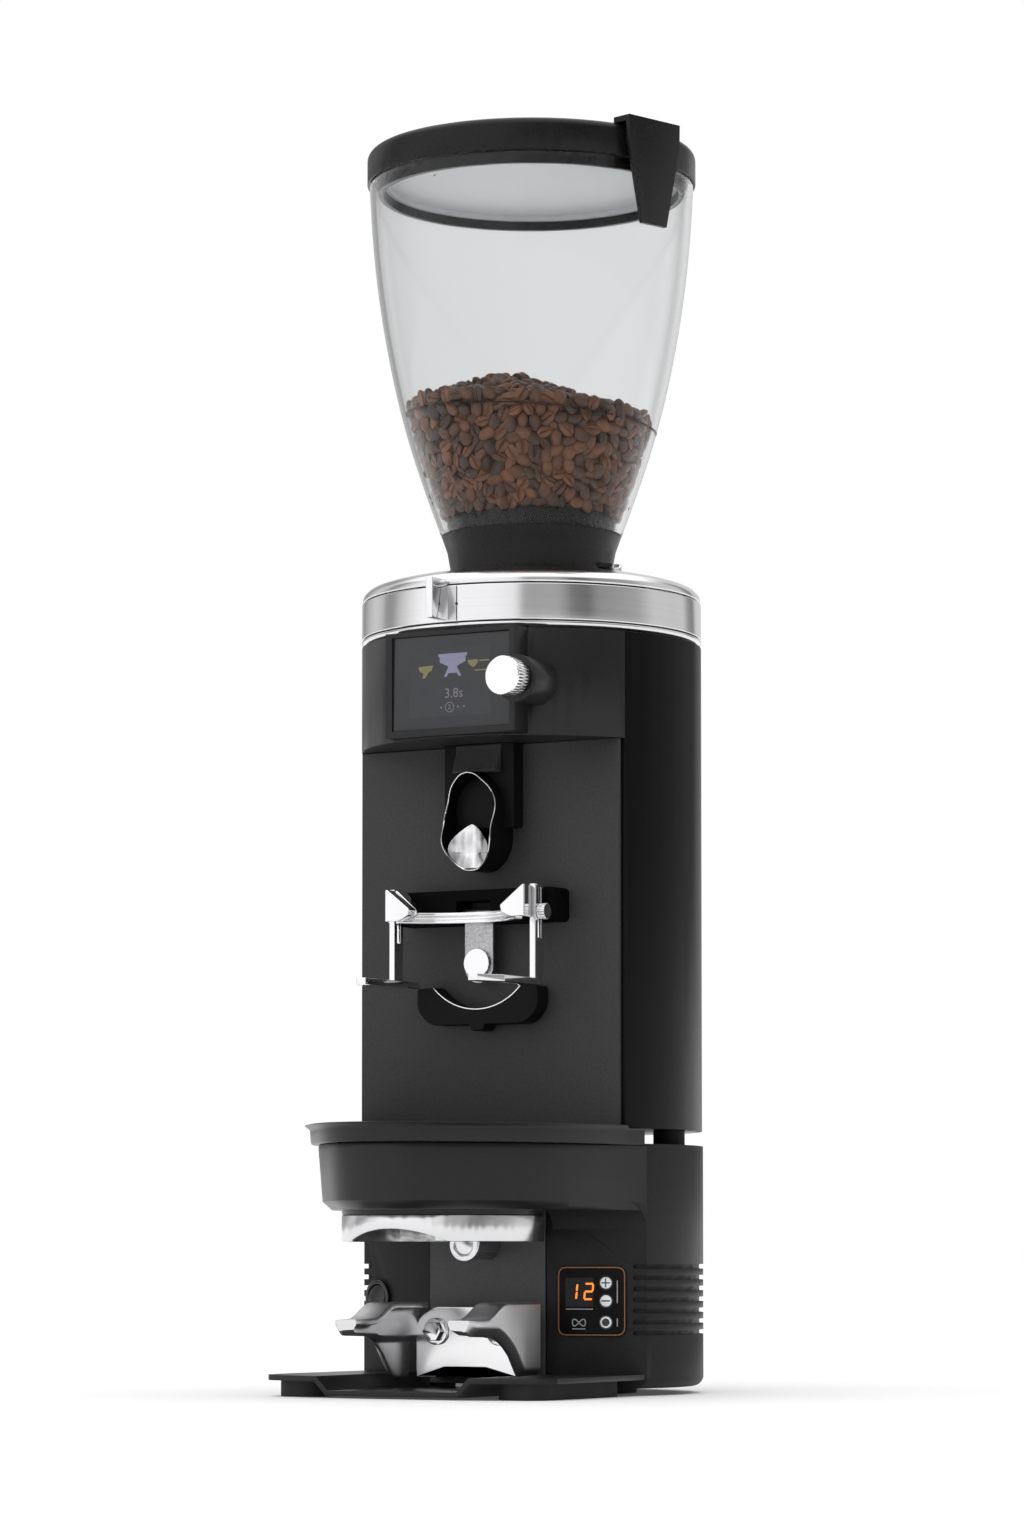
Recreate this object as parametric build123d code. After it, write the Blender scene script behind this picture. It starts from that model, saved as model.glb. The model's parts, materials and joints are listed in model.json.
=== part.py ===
"""On-demand burr coffee grinder standing on its automatic tamping base.

Millimetres, +Z up. The origin lies on the burr axis at the level of the table.
-Y is the operator's side, where the spout, the forks and the display are.
Each function makes one separate piece; PIECES at the end names them all.
"""
import os
from math import atan2, cos, degrees, pi, radians, sin, sqrt, tan

from build123d import *

# ---- driving dimensions ------------------------------------------------------------
BODY_R = 97.5              # outside radius of the round grinder body
WALL = 3.0                 # casing wall
FRONT_Y = -48.7            # outside of the flat front panel
PANEL_HALF = sqrt(BODY_R ** 2 - FRONT_Y ** 2)
GRINDER_Z = 148.5          # underside of the grinder
HEAD_Z = 366.0             # underside of the head that carries the display
RING_Z = 430.0             # bottom of the grind adjusting ring
RING_TOP = 451.0
CAP_TOP = 466.0            # collar of the domed cap, where the hopper stands
BOWL_Z = 491.5             # bottom of the clear bowl
LID_Z = 695.0              # top rim of the bowl
LID_TOP = 714.0
LID_R = 94.9

TAMP_Y = -105.0            # axis of the tamping piston
COLLAR_R, COLLAR_Y = 56.0, -98.5    # the steel ring round the piston, a little behind its axis
BASE_R = 98.0              # outside radius of the tamping base
BASE_TOP = 140.0
HOOD_LOW = 107.5           # lower edge of the hood's wall
HOOD_FLOOR = 103.0
SIDE_IN = (39.5, -49.0)    # inner and outer ends of the swept-back side facets
SIDE_OUT = (sqrt(BASE_R ** 2 - 32.5 ** 2), -32.5)
TRAY_Z = 139.3
PANEL_U, PANEL_Z, PANEL_SIZE = 24.5, 52.5, 39.0    # control plate on the right side facet
BUTTONS = [(8.2, 10.2), (8.2, 0.2), (8.2, -11.7)]  # keys, from the plate's middle
SWITCH_U, SWITCH_Z = 42.0, 54.0                    # round switch on the left side facet
GROOVES, GROOVE_TOP, GROOVE_STEP = 7, 71.8, 6.17   # cooling grooves round the base
GROOVE_U = 55.0                                    # middle of their run-out on the side facets
GATE_TURN = 26.0           # direction of the hopper gate, from +X towards +Y
FLAP_TURN = -16.0          # direction of the lid's hanging flap, from +X towards -Y

GEAR_MODULE = 2.0
NUT_TEETH = 50
PINION_TEETH = 34
GEAR_Z = 108.0
GEAR_THICK = 6.0
PINION_Y = TAMP_Y + GEAR_MODULE * (NUT_TEETH + PINION_TEETH) / 2

# half outline of the catch tray, from the middle of its front to its rear corner
TRAY_HALF = [(0, -184), (25.6, -176.4), (45, -158.5), (75.4, -115), (88.6, -61), SIDE_OUT]
# how much of an inset each of these points takes: the hood runs flush into the column
INSET_SHARE = [1, 1, 1, 0.9, 0.45, 0]


# ---- shape helpers -----------------------------------------------------------------
def at(x=0.0, y=0.0, z=0.0):
    return Pos(x, y, z)


def box(x0, x1, y0, y1, z0, z1):
    centre = at((x0 + x1) / 2, (y0 + y1) / 2, (z0 + z1) / 2)
    return centre * Box(x1 - x0, y1 - y0, z1 - z0)


def rod(r, z0, z1, x=0.0, y=0.0):
    return at(x, y, (z0 + z1) / 2) * Cylinder(r, z1 - z0)


def tube(r_out, r_in, z0, z1, x=0.0, y=0.0):
    return rod(r_out, z0, z1, x, y) - rod(r_in, z0 - 1, z1 + 1, x, y)


def rod_y(r, x, z, y0, y1):
    return at(x, (y0 + y1) / 2, z) * Rot(90, 0, 0) * Cylinder(r, y1 - y0)


def rod_x(r, y, z, x0, x1):
    return at((x0 + x1) / 2, y, z) * Rot(0, 90, 0) * Cylinder(r, x1 - x0)


def turned(points):
    """A solid of revolution about Z from (radius, height) corners."""
    outline = Plane.XZ * Polyline(*points, close=True)
    return revolve(make_face(outline), Axis.Z)


def prism(points, z0, z1):
    """An upright prism on a polygon of (x, y) corners."""
    face = make_face(Plane.XY.offset(z0) * Polyline(*points, close=True))
    return extrude(face, z1 - z0, dir=(0, 0, 1))


def side_prism(points, x0, x1):
    """A prism along X on a polygon of (y, z) corners."""
    face = make_face(Plane.YZ.offset(x0) * Polyline(*points, close=True))
    return extrude(face, x1 - x0, dir=(1, 0, 0))


def front_prism(points, y0, y1):
    """A prism along Y on a polygon of (x, z) corners."""
    corners = [(x, y0, z) for x, z in points]
    face = make_face(Polyline(*corners, close=True))
    return extrude(face, y1 - y0, dir=(0, 1, 0))


def rounded_slab(width, depth, height, radius):
    """A slab centred on the origin with rounded upright corners."""
    return extrude(RectangleRounded(width, depth, radius), height / 2, both=True)


def hood_wire(inset, z, straight_y=SIDE_OUT[1]):
    """The tray's plan outline, drawn in by inset and closed along its rear edge."""
    half = []
    last = len(TRAY_HALF) - 1
    for i, (x, y) in enumerate(TRAY_HALF):
        x0, y0 = TRAY_HALF[i - 1] if i else (-TRAY_HALF[1][0], TRAY_HALF[1][1])
        x1, y1 = TRAY_HALF[min(i + 1, last)]
        length = sqrt((x1 - x0) ** 2 + (y1 - y0) ** 2)
        step = inset * INSET_SHARE[i] / length
        half.append((x - (y1 - y0) * step, y + (x1 - x0) * step))
    half[-1] = (half[-1][0], straight_y)
    points = [(-x, y, z) for x, y in reversed(half[1:])] + [(x, y, z) for x, y in half]
    curve = Spline(*points)
    return Wire([curve, Line(points[-1], points[0])])


def hood_solid(inset_low, z_low, inset_high, z_high):
    return Solid.make_loft([hood_wire(inset_low, z_low), hood_wire(inset_high, z_high)], True)


def facet(u, out, z):
    """A place on the right side facet: u along it, out from it."""
    tx, ty = SIDE_OUT[0] - SIDE_IN[0], SIDE_OUT[1] - SIDE_IN[1]
    length = sqrt(tx * tx + ty * ty)
    tx, ty = tx / length, ty / length
    x = SIDE_IN[0] + u * tx + out * ty
    y = SIDE_IN[1] + u * ty - out * tx
    return Pos(x, y, z) * Rot(0, 0, degrees(atan2(ty, tx))) * Rot(90, 0, 0)


def gear(teeth, thickness, turn, backlash=0.2):
    """A spur gear blank with straight-flanked teeth, thinned for backlash."""
    pitch = GEAR_MODULE * teeth / 2
    tip = pitch + 0.9 * GEAR_MODULE
    root = pitch - 1.25 * GEAR_MODULE
    half_pitch = (pi * GEAR_MODULE / 2 - backlash) / 2
    slope = tan(radians(20))
    blank = Cylinder(root, thickness)
    half_root = half_pitch + (pitch - root) * slope
    half_tip = half_pitch - (tip - pitch) * slope
    tooth = [(root - 0.4, -half_root), (pitch, -half_pitch), (tip, -half_tip),
             (tip, half_tip), (pitch, half_pitch), (root - 0.4, half_root)]
    one = at(0, 0, -thickness / 2) * prism(tooth, 0, thickness)
    return blank + [Rot(0, 0, turn + 360 * i / teeth) * one for i in range(teeth)]


# ---- hopper ------------------------------------------------------------------------
BOWL_CURVE = [(52, BOWL_Z), (58, 508), (69.5, 542), (82.2, 594), (91.7, 663.5), (93.6, LID_Z)]
NECK_R = 23.5              # throat of the neck
GATE_Z = 470.2


def hopper_bowl():
    """A clear wall of even thickness, open at both ends."""
    wall = 3.0
    outside = Plane.XZ * Spline(*BOWL_CURVE)
    inside = Plane.XZ * Spline(*[(r - wall, z) for r, z in BOWL_CURVE])
    low = Line(inside @ 0, outside @ 0)
    top = Line(outside @ 1, inside @ 1)
    return revolve(make_face([outside, top, inside, low]), Axis.Z)


def coffee_beans():
    """The heap of beans: the bowl's inside up to a leaning cone."""
    fill = turned([(0, 477.4), (NECK_R, 477.4), (43.8, 491.4), (43.8, 502.6), (51.8, 503), (57.6, 520),
                   (65.3, 542), (72.4, 566), (78.2, 594), (0, 594)])
    heap = at(-10.4, -6, 588 - 35) * Cone(220, 0, 70) + rod(220, 470, 518.5)
    return fill & heap


def hopper_neck():
    """The flared neck with its throat, the bowl's seat and the gate's slot."""
    body = turned([(NECK_R, CAP_TOP + 0.3), (46, CAP_TOP + 0.3), (46.9, 473), (48.5, 482),
                   (51.3, 490), (51.8, BOWL_Z), (48.4, BOWL_Z), (48.4, 502), (45, 502),
                   (45, 491), (28, 477), (NECK_R, 477)])
    spigot = tube(29.6, NECK_R, CAP_TOP - 6, CAP_TOP + 0.3)
    slot = rod(30.6, GATE_Z - 0.3, GATE_Z + 2.3) + box(0, 70, -24.4, 24.4, GATE_Z - 0.3, GATE_Z + 2.3)
    slot = slot & box(-40, 70, -24.4, 24.4, GATE_Z - 1, GATE_Z + 3)
    return body + spigot - Rot(0, 0, GATE_TURN) * slot


def bean_gate():
    """The flat shutter, round at its inner end."""
    plate = rod(30, GATE_Z, GATE_Z + 2) + box(0, 47.6, -30, 30, GATE_Z, GATE_Z + 2)
    plate = plate & box(-40, 47.6, -24, 24, GATE_Z - 1, GATE_Z + 3)
    return Rot(0, 0, GATE_TURN) * plate


def gate_knob():
    """The small round pull at the shutter's outer end."""
    pull = rod_x(4, 0, GATE_Z + 1, 47.6, 52)
    pull = fillet(pull.edges().filter_by(GeomType.CIRCLE).sort_by(Axis.X)[-1], 1.4)
    return Rot(0, 0, GATE_TURN) * pull


def lid_band():
    """The lid: a rounded cap with a plug skirt that hangs inside the bowl."""
    low = LID_Z + 0.3
    cap = turned([(0, LID_TOP - 3), (85, LID_TOP - 3), (85, 689), (88.6, 689),
                  (88.6, low), (LID_R, low), (LID_R, LID_TOP), (0, LID_TOP)])
    rim = cap.edges().filter_by(GeomType.CIRCLE).group_by(Axis.Z)[-1]
    return fillet(rim, 5)


def lid_disc():
    """The pale disc set in under the lid, with three narrow slots."""
    disc = tube(84.7, 82.2, 694, 699) + rod(84.7, 697, 700)
    for turn in (-128, -100, -72):
        disc -= Rot(0, 0, turn) * at(60, 0, 697) * rounded_slab(1.2, 5, 2, 0.5)
    return disc


def lid_flap():
    """The tapering handle that hangs from the lid, with its hook over the top."""
    outer, plate, top, low = 100.0, 2.8, 717.2, 657.2
    sides = [(-20.3, top), (20.3, top), (20.0, top - 14), (9.5, low), (-9.5, low), (-20.0, top - 14)]
    corners = [(outer - plate, t, z) for t, z in sides]
    blade = extrude(make_face(Polyline(*corners, close=True)), plate, dir=(1, 0, 0))
    hook = box(outer - 12.4, outer - plate, -20.3, 20.3, LID_TOP, top)
    return Rot(0, 0, FLAP_TURN) * (blade + hook)


# ---- head: cap, ring and burrs -----------------------------------------------------
def top_cap():
    """The domed cap with the collar that the hopper stands on."""
    return turned([(30.2, 462), (30.2, CAP_TOP), (46, CAP_TOP), (67, 464.5), (75.9, 463.3),
                   (87.4, 460.7), (93.2, 458.7), (96.6, 455.5), (97.3, RING_TOP + 0.7),
                   (94.3, RING_TOP + 0.7), (93.2, 454.6), (86, 457.5), (75, 460), (66, 461.3)])


def adjusting_ring():
    """The grind ring: outer band, web and the sleeve that drives the burr's thread."""
    band = tube(BODY_R, BODY_R - 4, RING_Z + 0.5, RING_TOP)
    web = tube(BODY_R - 3, 52, 442, 445)
    sleeve = tube(53, 48.2, RING_Z + 2, 445)
    ribs = [Rot(0, 0, 60 * i) * box(52, BODY_R - 3, -1.5, 1.5, 434, 443) for i in range(6)]
    slot = box(-2.3, 2.3, -BODY_R - 1, -BODY_R + 2, 431.4, RING_TOP + 1)
    return band + web + sleeve + ribs - slot


def ring_lever():
    """The flat steel pointer let into the ring's front."""
    blade = box(-2.2, 2.2, -114, -BODY_R + 1.8, 431.4, 454)
    return blade - box(-3, 3, -BODY_R - 0.4, -BODY_R + 3, RING_TOP, 455)


def bevel_ring():
    """The fixed ring under the grind ring, its edge turned back."""
    return turned([(92, 426.2), (95.8, 426.2), (BODY_R, 428), (BODY_R, RING_Z - 0.2), (92, RING_Z - 0.2)])


CHUTE_LEAN = 41.0          # lean of the spout's bore from the upright
SPOUT_AXIS = (0, -70.5, 321)


def along_chute(t, r, length):
    """A rod on the spout's axis, from t up the bore."""
    lean = radians(CHUTE_LEAN)
    mid = t + length / 2
    y = SPOUT_AXIS[1] + mid * sin(lean)
    z = SPOUT_AXIS[2] + mid * cos(lean)
    return at(0, y, z) * Rot(-CHUTE_LEAN, 0, 0) * Cylinder(r, length)


def burr_housing():
    """The grinding chamber with its outlet, standing on the motor's top plate."""
    inside = box(-20, 20, FRONT_Y + 3.4, 20, 340, 391)
    cup = tube(48, 42, 392, 427.5) + tube(60, 8, 388, 394)
    outlet = (rod(14, 350, 390, 0, -31) + along_chute(20, 14.2, 50)) & inside
    bore = rod(12, 352, 396, 0, -31) + along_chute(10, 12.2, 58)
    posts = [rod(5, 335, 390, sx * 46, sy) for sx in (-1, 1) for sy in (-24, 32)]
    plate = tube(70, 9.5, 332, 337) - box(-80, 80, -90, FRONT_Y + 3.4, 330, 341)
    return cup + outlet + posts + plate - bore


def upper_burr_carrier():
    """The keyed carrier that holds the upper burr and carries the cap."""
    lower = tube(41.6, 19, 420.9, 430)
    upper = tube(47.9, 19, 430, 452)
    collar = tube(66, 19, 452, 456) + tube(66, 62, 456, 461.2)
    return lower + upper + collar


def burr(z0, z1, mirror):
    """A flat 65 mm burr with sixteen slanting grooves."""
    ring = tube(32.5, 18.5, z0, z1)
    face_z = z0 if mirror else z1
    cut = Rot(0, 0, 18) * box(14, 40, -0.8, 0.8, face_z - 1.2, face_z + 1.2)
    return ring - [Rot(0, 0, 22.5 * i) * at(0, 3, 0) * cut for i in range(16)]


def upper_burr():
    return burr(413.9, 420.9, True)


def lower_burr():
    return burr(406.4, 413.4, False)


def lower_burr_carrier():
    """The turning disc under the lower burr with its sweeper vanes."""
    disc = tube(38, 7, 400, 406.4) + tube(14, 7, 395.5, 409)
    vanes = [Rot(0, 0, 90 * i + 45) * box(37, 40.5, -2, 2, 396, 404) for i in range(4)]
    return disc + vanes


def motor_rotor():
    """The rotor pressed on the shaft that also drives the lower burr."""
    return rod(7, 172, 409) + rod(4.5, 409, 416) + tube(25, 7, 208, 298)


def motor_stator():
    """The motor's shell with its core, its winding heads and its two bearing seats."""
    core = tube(42, 25.6, 212, 293)
    heads = tube(39, 29, 200, 212) + tube(39, 29, 293, 305)
    shell = tube(44.5, 42, 192, 331.5)
    seats = tube(42, 17, 192, 196) + tube(21, 17, 174, 196) + tube(42, 17, 318, 330)
    return core + heads + shell + seats


def shaft_bearings():
    """The two ball bearings, each as one ring."""
    return [tube(17, 7.05, 176, 188), tube(17, 7.05, 318, 330)]


# ---- head: shell, display and knob -------------------------------------------------
KNOB_X, KNOB_Z = 52.0, 395.0
DISPLAY = (-37.0, 46.8, -100.0)


def head_housing():
    """The round front shell that carries the display."""
    outer = rod(BODY_R, HEAD_Z, 426) & box(-100, 100, -100, FRONT_Y + 3.2, 360, 430)
    hollow = rod(BODY_R - WALL, HEAD_Z + WALL, 430) & box(-100, 100, -100, 0, 360, 430)
    seat = box(DISPLAY[0], DISPLAY[1], -105, -84, 367, 430)
    boss = rod_y(13.2, KNOB_X, KNOB_Z, -110, -84)
    return outer - hollow - seat - boss


def display_bezel():
    """The square frame round the display, and the boss behind the knob."""
    x0, x1, y0 = DISPLAY
    frame = box(x0, x1, y0, -84, 367, 425.9)
    frame -= box(-32.7, 43.3, y0 - 1, y0 + 4, 370.6, 423.3)
    frame -= box(-28, 40, y0, -80, 373, 421)
    boss = rod_y(13, KNOB_X, KNOB_Z, -108, -84)
    bore = rod_y(4.05, KNOB_X, KNOB_Z, -112, -80)
    return frame + boss - bore


def display_screen():
    """The dark glass set into the frame."""
    return box(-32.6, 43.2, -98.8, -96.1, 370.7, 423.2) - rod_y(13.3, KNOB_X, KNOB_Z, -110, -90)


def knob_shaft():
    """The push rod of the knob."""
    return rod_y(4, KNOB_X, KNOB_Z, -121, -86)


def control_knob():
    """The ribbed turning cap, bored for its shaft."""
    cap = rod_y(11, KNOB_X, KNOB_Z, -123.2, -110)
    for i in range(30):
        turn = radians(12 * i)
        cap -= rod_y(0.45, KNOB_X + 11.2 * cos(turn), KNOB_Z + 11.2 * sin(turn), -121.5, -109)
    return cap - rod_y(4.05, KNOB_X, KNOB_Z, -121.1, -109)


# ---- grinder body ------------------------------------------------------------------
def front_panel():
    """The flat front plate with the opening behind the spout."""
    plate = box(-PANEL_HALF + 0.4, PANEL_HALF - 0.4, FRONT_Y, FRONT_Y + 3, GRINDER_Z, HEAD_Z - 0.1)
    return plate - along_chute(15, 14.2, 40)


def rear_housing():
    """The round rear shell, open at the front between the panel's edges."""
    shell = tube(BODY_R, BODY_R - WALL, GRINDER_Z, 426)
    shell -= box(-120, 120, -120, FRONT_Y + 3.3, 100, 500)
    shell -= box(-14.1, 14.1, 90, 100, 171.9, 192.1) + box(-9.1, 9.1, 90, 100, 202.9, 221.1)
    for row in range(6):
        shell -= box(-26, 26, 80, 110, 240 + 8 * row, 243 + 8 * row)
    return shell


def grinder_floor():
    """The bottom plate, inside the casing, that carries the motor."""
    plate = rod(BODY_R - WALL - 0.2, GRINDER_Z, GRINDER_Z + 4)
    plate &= box(-100, 100, FRONT_Y + 3.2, 100, 140, 160)
    posts = [rod(5, GRINDER_Z + 3, 192, sx * 24, sy * 24) for sx in (-1, 1) for sy in (-1, 1)]
    return plate + posts


def control_board():
    """The circuit board behind the display, with its larger components."""
    board = box(-30, 30, -80, -78.4, 374, 420)
    parts = [box(-22, -8, -78.4, -73, 380, 392), box(4, 20, -78.4, -75, 398, 412)]
    return board + parts


# ---- spout and upper fork ----------------------------------------------------------
def rim_cut():
    """The half space in front of the spout's leaning mouth."""
    lean = 10.0
    return at(*SPOUT_AXIS) * Rot(lean, 0, 0) * at(0, -50, 0) * Box(90, 100, 160)


def chute_block():
    """The black block of the spout with its bored nose."""
    block = box(-22.6, 22.6, -59.5, FRONT_Y - 0.1, 318, 365.8)
    block = chamfer(block.edges().filter_by(Axis.X).sort_by(Axis.Z)[0], 4)
    nose = along_chute(-26, 15.6, 52) & box(-30, 30, -90, FRONT_Y - 0.1, 280, 365.8)
    shoulder = side_prism([(-60, 365.8), (-60, 356), (-66, 340), (-50, 330), (-50, 365.8)], -14.3, 14.3)
    cut = at(0, 1.2, 0) * rim_cut()
    return block + nose + shoulder - along_chute(-40, 13.9, 110) - cut


def chute_liner():
    """The thin steel lining whose edge shows round the mouth."""
    skin = along_chute(-30, 13.8, 52) - along_chute(-60, 12.8, 130)
    return skin & box(-30, 30, -90, FRONT_Y - 0.4, 280, 365) - rim_cut()


ARM_IN, ARM_OUT = 44.0, 47.5        # inner and outer faces of the fork's side arms
ARM_FRONT, ARM_BACK = -78.5, -69.2
LIP_R, LIP_Y = 49.0, -115.0         # the rest's curved lip, struck from a point in front
PRONG_Z = (227.9, 231.6)


def fork_bracket():
    """The black bracket on the panel that carries the upper fork."""
    bar = box(-52.5, 52.5, -66, FRONT_Y - 0.1, 264, 283)
    bar = fillet(bar.edges().filter_by(Axis.Y), 3)
    bar -= tube(80, LIP_R, 260, 290, 0, LIP_Y) & box(-60, 60, -80, -65.9, 260, 290)
    return bar - box(-11, 11, -70, FRONT_Y, 258, 277) - rod_x(1.26, -58.5, 270.3, -14, 14)


def fork_wings():
    """The polished rest: two sloping wings joined by a curved lip."""
    front, back = -87.0, -66.2
    wings = []
    for side in (-1, 1):
        corners = [(side * 43.8, 264.4), (side * 43.8, 283), (side * 41.2, 283), (side * 30, 271.5),
                   (side * 30, 268), (side * 35, 264.4)]
        wings.append(front_prism(corners, front, back))
    lip = tube(LIP_R + 4, LIP_R, 264, 271, 0, LIP_Y) & box(-42, 42, -86, back, 260, 280)
    lip -= tube(60, LIP_R + 1.5, 268.4, 272, 0, LIP_Y) & box(-50, 50, -80, back, 260, 280)
    hinge = box(-10.5, 10.5, -67, FRONT_Y - 0.2, 273.3, 276.8) + box(-10.5, 10.5, -66.4, -63.5, 264.2, 276.8)
    bore = rod(LIP_R - 0.01, 260, 290, 0, LIP_Y) & box(-42, 42, -84, back, 260, 290)
    return (wings[0] + wings[1] - bore) + lip + hinge


def fork_arms():
    """The two slotted side arms, each with its forward prong."""
    pair = []
    for side in (-1, 1):
        x0, x1 = sorted((side * ARM_IN, side * ARM_OUT))
        arm = box(x0, x1, ARM_FRONT, ARM_BACK, 229, 284)
        arm -= box(x0 - 1, x1 + 1, -75.3, -71.9, 254, 282)
        inner = side * 33
        prong = prism([(side * ARM_OUT, ARM_BACK), (inner, ARM_BACK), (inner, -127), (side * 39, -127),
                       (side * ARM_OUT, -112)], *PRONG_Z)
        pair.append(arm + prong)
    return pair


def thumb_screws():
    """The two screws that clamp the arms to the wings."""
    screws = []
    for side in (-1, 1):
        a, b, c = side * 43.8, side * 47.8, side * 53
        shank = rod_x(1.5, -73.6, 268.6, min(a, b), max(a, b))
        head = rod_x(4.6, -73.6, 268.6, min(b, c), max(b, c))
        screws.append(shank + head)
    return screws


def lower_bracket():
    """The black U bracket under the prongs, cut out in an arc."""
    plate = front_prism([(-39.5, 228), (-39.5, 216), (-31, 207), (-5, 207), (-5, 203.6), (5, 203.6),
                         (5, 207), (31, 207), (39.5, 216), (39.5, 228)], -62, -49.2)
    arc = rod_y(30, 0, 246.5, -70, -40)
    plate -= arc + box(-60, 60, -80, -40, 227.4, 260)
    feet = [box(side * 34 - 4, side * 34 + 4, -62, -49.2, 225, 228) for side in (-1, 1)]
    flanges = [prism([(side * 33, ARM_BACK), (side * ARM_OUT, ARM_BACK), (side * 39.5, -49.2),
                      (side * 28, -49.2)], PRONG_Z[0], 229.6) for side in (-1, 1)]
    return plate + feet + flanges


def trigger_lever():
    """The hanging start lever with its round contact plate."""
    tongue = box(-9.2, 9.2, -59.5, -57.5, 240, 270.5)
    lobe = rod_y(9.2, 0, 240, -59.5, -57.5)
    eye = rod_x(2.5, -58.5, 270.3, -9.2, 9.2) + rod_x(1.2, -58.5, 270.3, -13, 13)
    disc = rod_y(8.2, 0, 242, -62.5, -59.4)
    return tongue + lobe + eye + disc


# ---- tamping base ------------------------------------------------------------------
def base_outline(inset):
    """Plan of the column: round behind, two swept facets in front."""
    r = BASE_R - inset
    x_in, y_in = SIDE_IN
    x_out, y_out = SIDE_OUT
    x_c = sqrt(r * r - (y_out + inset) ** 2)
    y_c = y_out + inset
    arc = ThreePointArc((x_c, y_c), (0, r), (-x_c, y_c))
    rest = Polyline((-x_c, y_c), (-x_in, y_in + inset), (x_in, y_in + inset), (x_c, y_c))
    return make_face(arc + rest)


def tamper_body():
    """The column's shell with its cooling grooves."""
    outer = extrude(at(0, 0, 4) * base_outline(0), BASE_TOP - 4)
    outer = fillet(outer.edges().group_by(Axis.Z)[0].filter_by(GeomType.CIRCLE), 6)
    inner = extrude(at(0, 0, 8) * base_outline(WALL), BASE_TOP - WALL - 8)
    shell = outer - inner
    shell -= box(-38.2, 38.2, -60, -43, 4, HOOD_LOW)
    shell -= box(-120, 120, -60, SIDE_OUT[1], HOOD_LOW, BASE_TOP + 1)
    shell -= mirror(facet(SWITCH_U, 0, SWITCH_Z) * Cylinder(8, 16), Plane.YZ)
    shell -= facet(PANEL_U, 0, PANEL_Z) * Box(32, 32, 16)
    for i in range(GROOVES):
        z = GROOVE_TOP - GROOVE_STEP * i
        groove = tube(110, BASE_R - 2.3, z - 1.3, z + 1.3) - box(-120, 120, -120, -36, 0, 150)
        shell -= groove
        slot = facet(GROOVE_U, 0, z) * Box(12, 2.6, 4.6)
        slot += facet(GROOVE_U - 6, 0, z) * Cylinder(1.3, 4.6)
        shell -= [slot, mirror(slot, Plane.YZ)]
    shell -= box(-14.1, 14.1, 90, 100, 26.9, 47.1)
    return shell


def tamper_hood():
    """The overhanging hood: wall, roof and the floor round the piston."""
    outer = hood_solid(7.5, HOOD_LOW, 5, TRAY_Z - 0.3)
    outer += hood_solid(13, HOOD_FLOOR, 7.5, HOOD_LOW)
    inner = hood_solid(12, HOOD_FLOOR + 3, 9, TRAY_Z - 3.3)
    shell = outer - (inner & box(-200, 200, -200, SIDE_OUT[1] + 1, 0, 200))
    shell -= box(-88, 88, SIDE_OUT[1] - 8, SIDE_OUT[1] + 8, HOOD_FLOOR + 3, TRAY_Z - 3.3)
    shell += rod(COLLAR_R, HOOD_FLOOR - 3, HOOD_FLOOR + 3, 0, COLLAR_Y)
    shell -= rod(30, 90, 107, 0, TAMP_Y)
    column = extrude(at(0, 0, 90) * base_outline(0), HOOD_LOW - 90)
    return shell - column - box(-40, 40, -56, -30, 90, HOOD_LOW)


def column_wall():
    """The plain wall between the two side facets."""
    wall = box(-37, 37, -49.2, -45.5, 6, HOOD_LOW - 0.5)
    return wall - [rod_y(3.1, x, BOLT_Z, -60, -40) for x in (-BOLT_X, BOLT_X)]


def catch_tray():
    """The shallow tray on the hood, with a turned-out lip."""
    outer = hood_solid(0.6, TRAY_Z, 0, 147.9)
    inner = hood_solid(3.4, TRAY_Z + 2, 2.8, 149)
    lip = Solid.make_loft([hood_wire(-0.4, 147.4), hood_wire(-3.0, 150)], True)
    lip &= box(-200, 200, -200, FRONT_Y - 1.6, 140, 160)
    bore = hood_solid(2.8, 145, 0.5, 151)
    shell = outer + lip - inner - (bore & box(-200, 200, -200, -60, 145, 152))
    return shell & box(-200, 200, -200, -34, 130, 160)


def control_panel():
    """The square control plate on the right facet."""
    plate = rounded_slab(PANEL_SIZE, PANEL_SIZE, 1.6, 5)
    for du, dz in BUTTONS:
        plate -= at(du, dz, 0) * Cylinder(3.4, 6)
    return facet(PANEL_U, 0.82, PANEL_Z) * plate


def panel_button(index):
    """A round push button standing in its hole in the plate."""
    du, dz = BUTTONS[index]
    return facet(PANEL_U, 1.3, PANEL_Z) * at(du, dz, 0) * Cylinder(3.15, 2.2)


def plus_button():
    return panel_button(0)


def minus_button():
    return panel_button(1)


def set_button():
    return panel_button(2)


def rocker_bezel():
    """The round switch's bezel on the left facet."""
    ring = Cylinder(10, 2.4) - Cylinder(7.6, 4)
    return mirror(facet(SWITCH_U, 1.25, SWITCH_Z) * ring, Plane.YZ)


def tamper_rocker():
    """The tilting key of the round switch."""
    key = Rot(-8, 0, 0) * Cylinder(7.2, 2.4)
    return mirror(facet(SWITCH_U, 1.3, SWITCH_Z) * key, Plane.YZ)


def steel_collar():
    """The steel ring round the piston, arched in front."""
    ring = tube(COLLAR_R, COLLAR_R - 3, 85.5, 100, 0, COLLAR_Y)
    arch = at(0, COLLAR_Y - COLLAR_R, 20.5) * Rot(90, 0, 0) * Cylinder(72, 50)
    ring -= arch & box(-40, 40, -170, TAMP_Y - 20, 80, 93)
    return ring - box(-60, 60, -49.7, 0, 80, 102)


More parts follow.
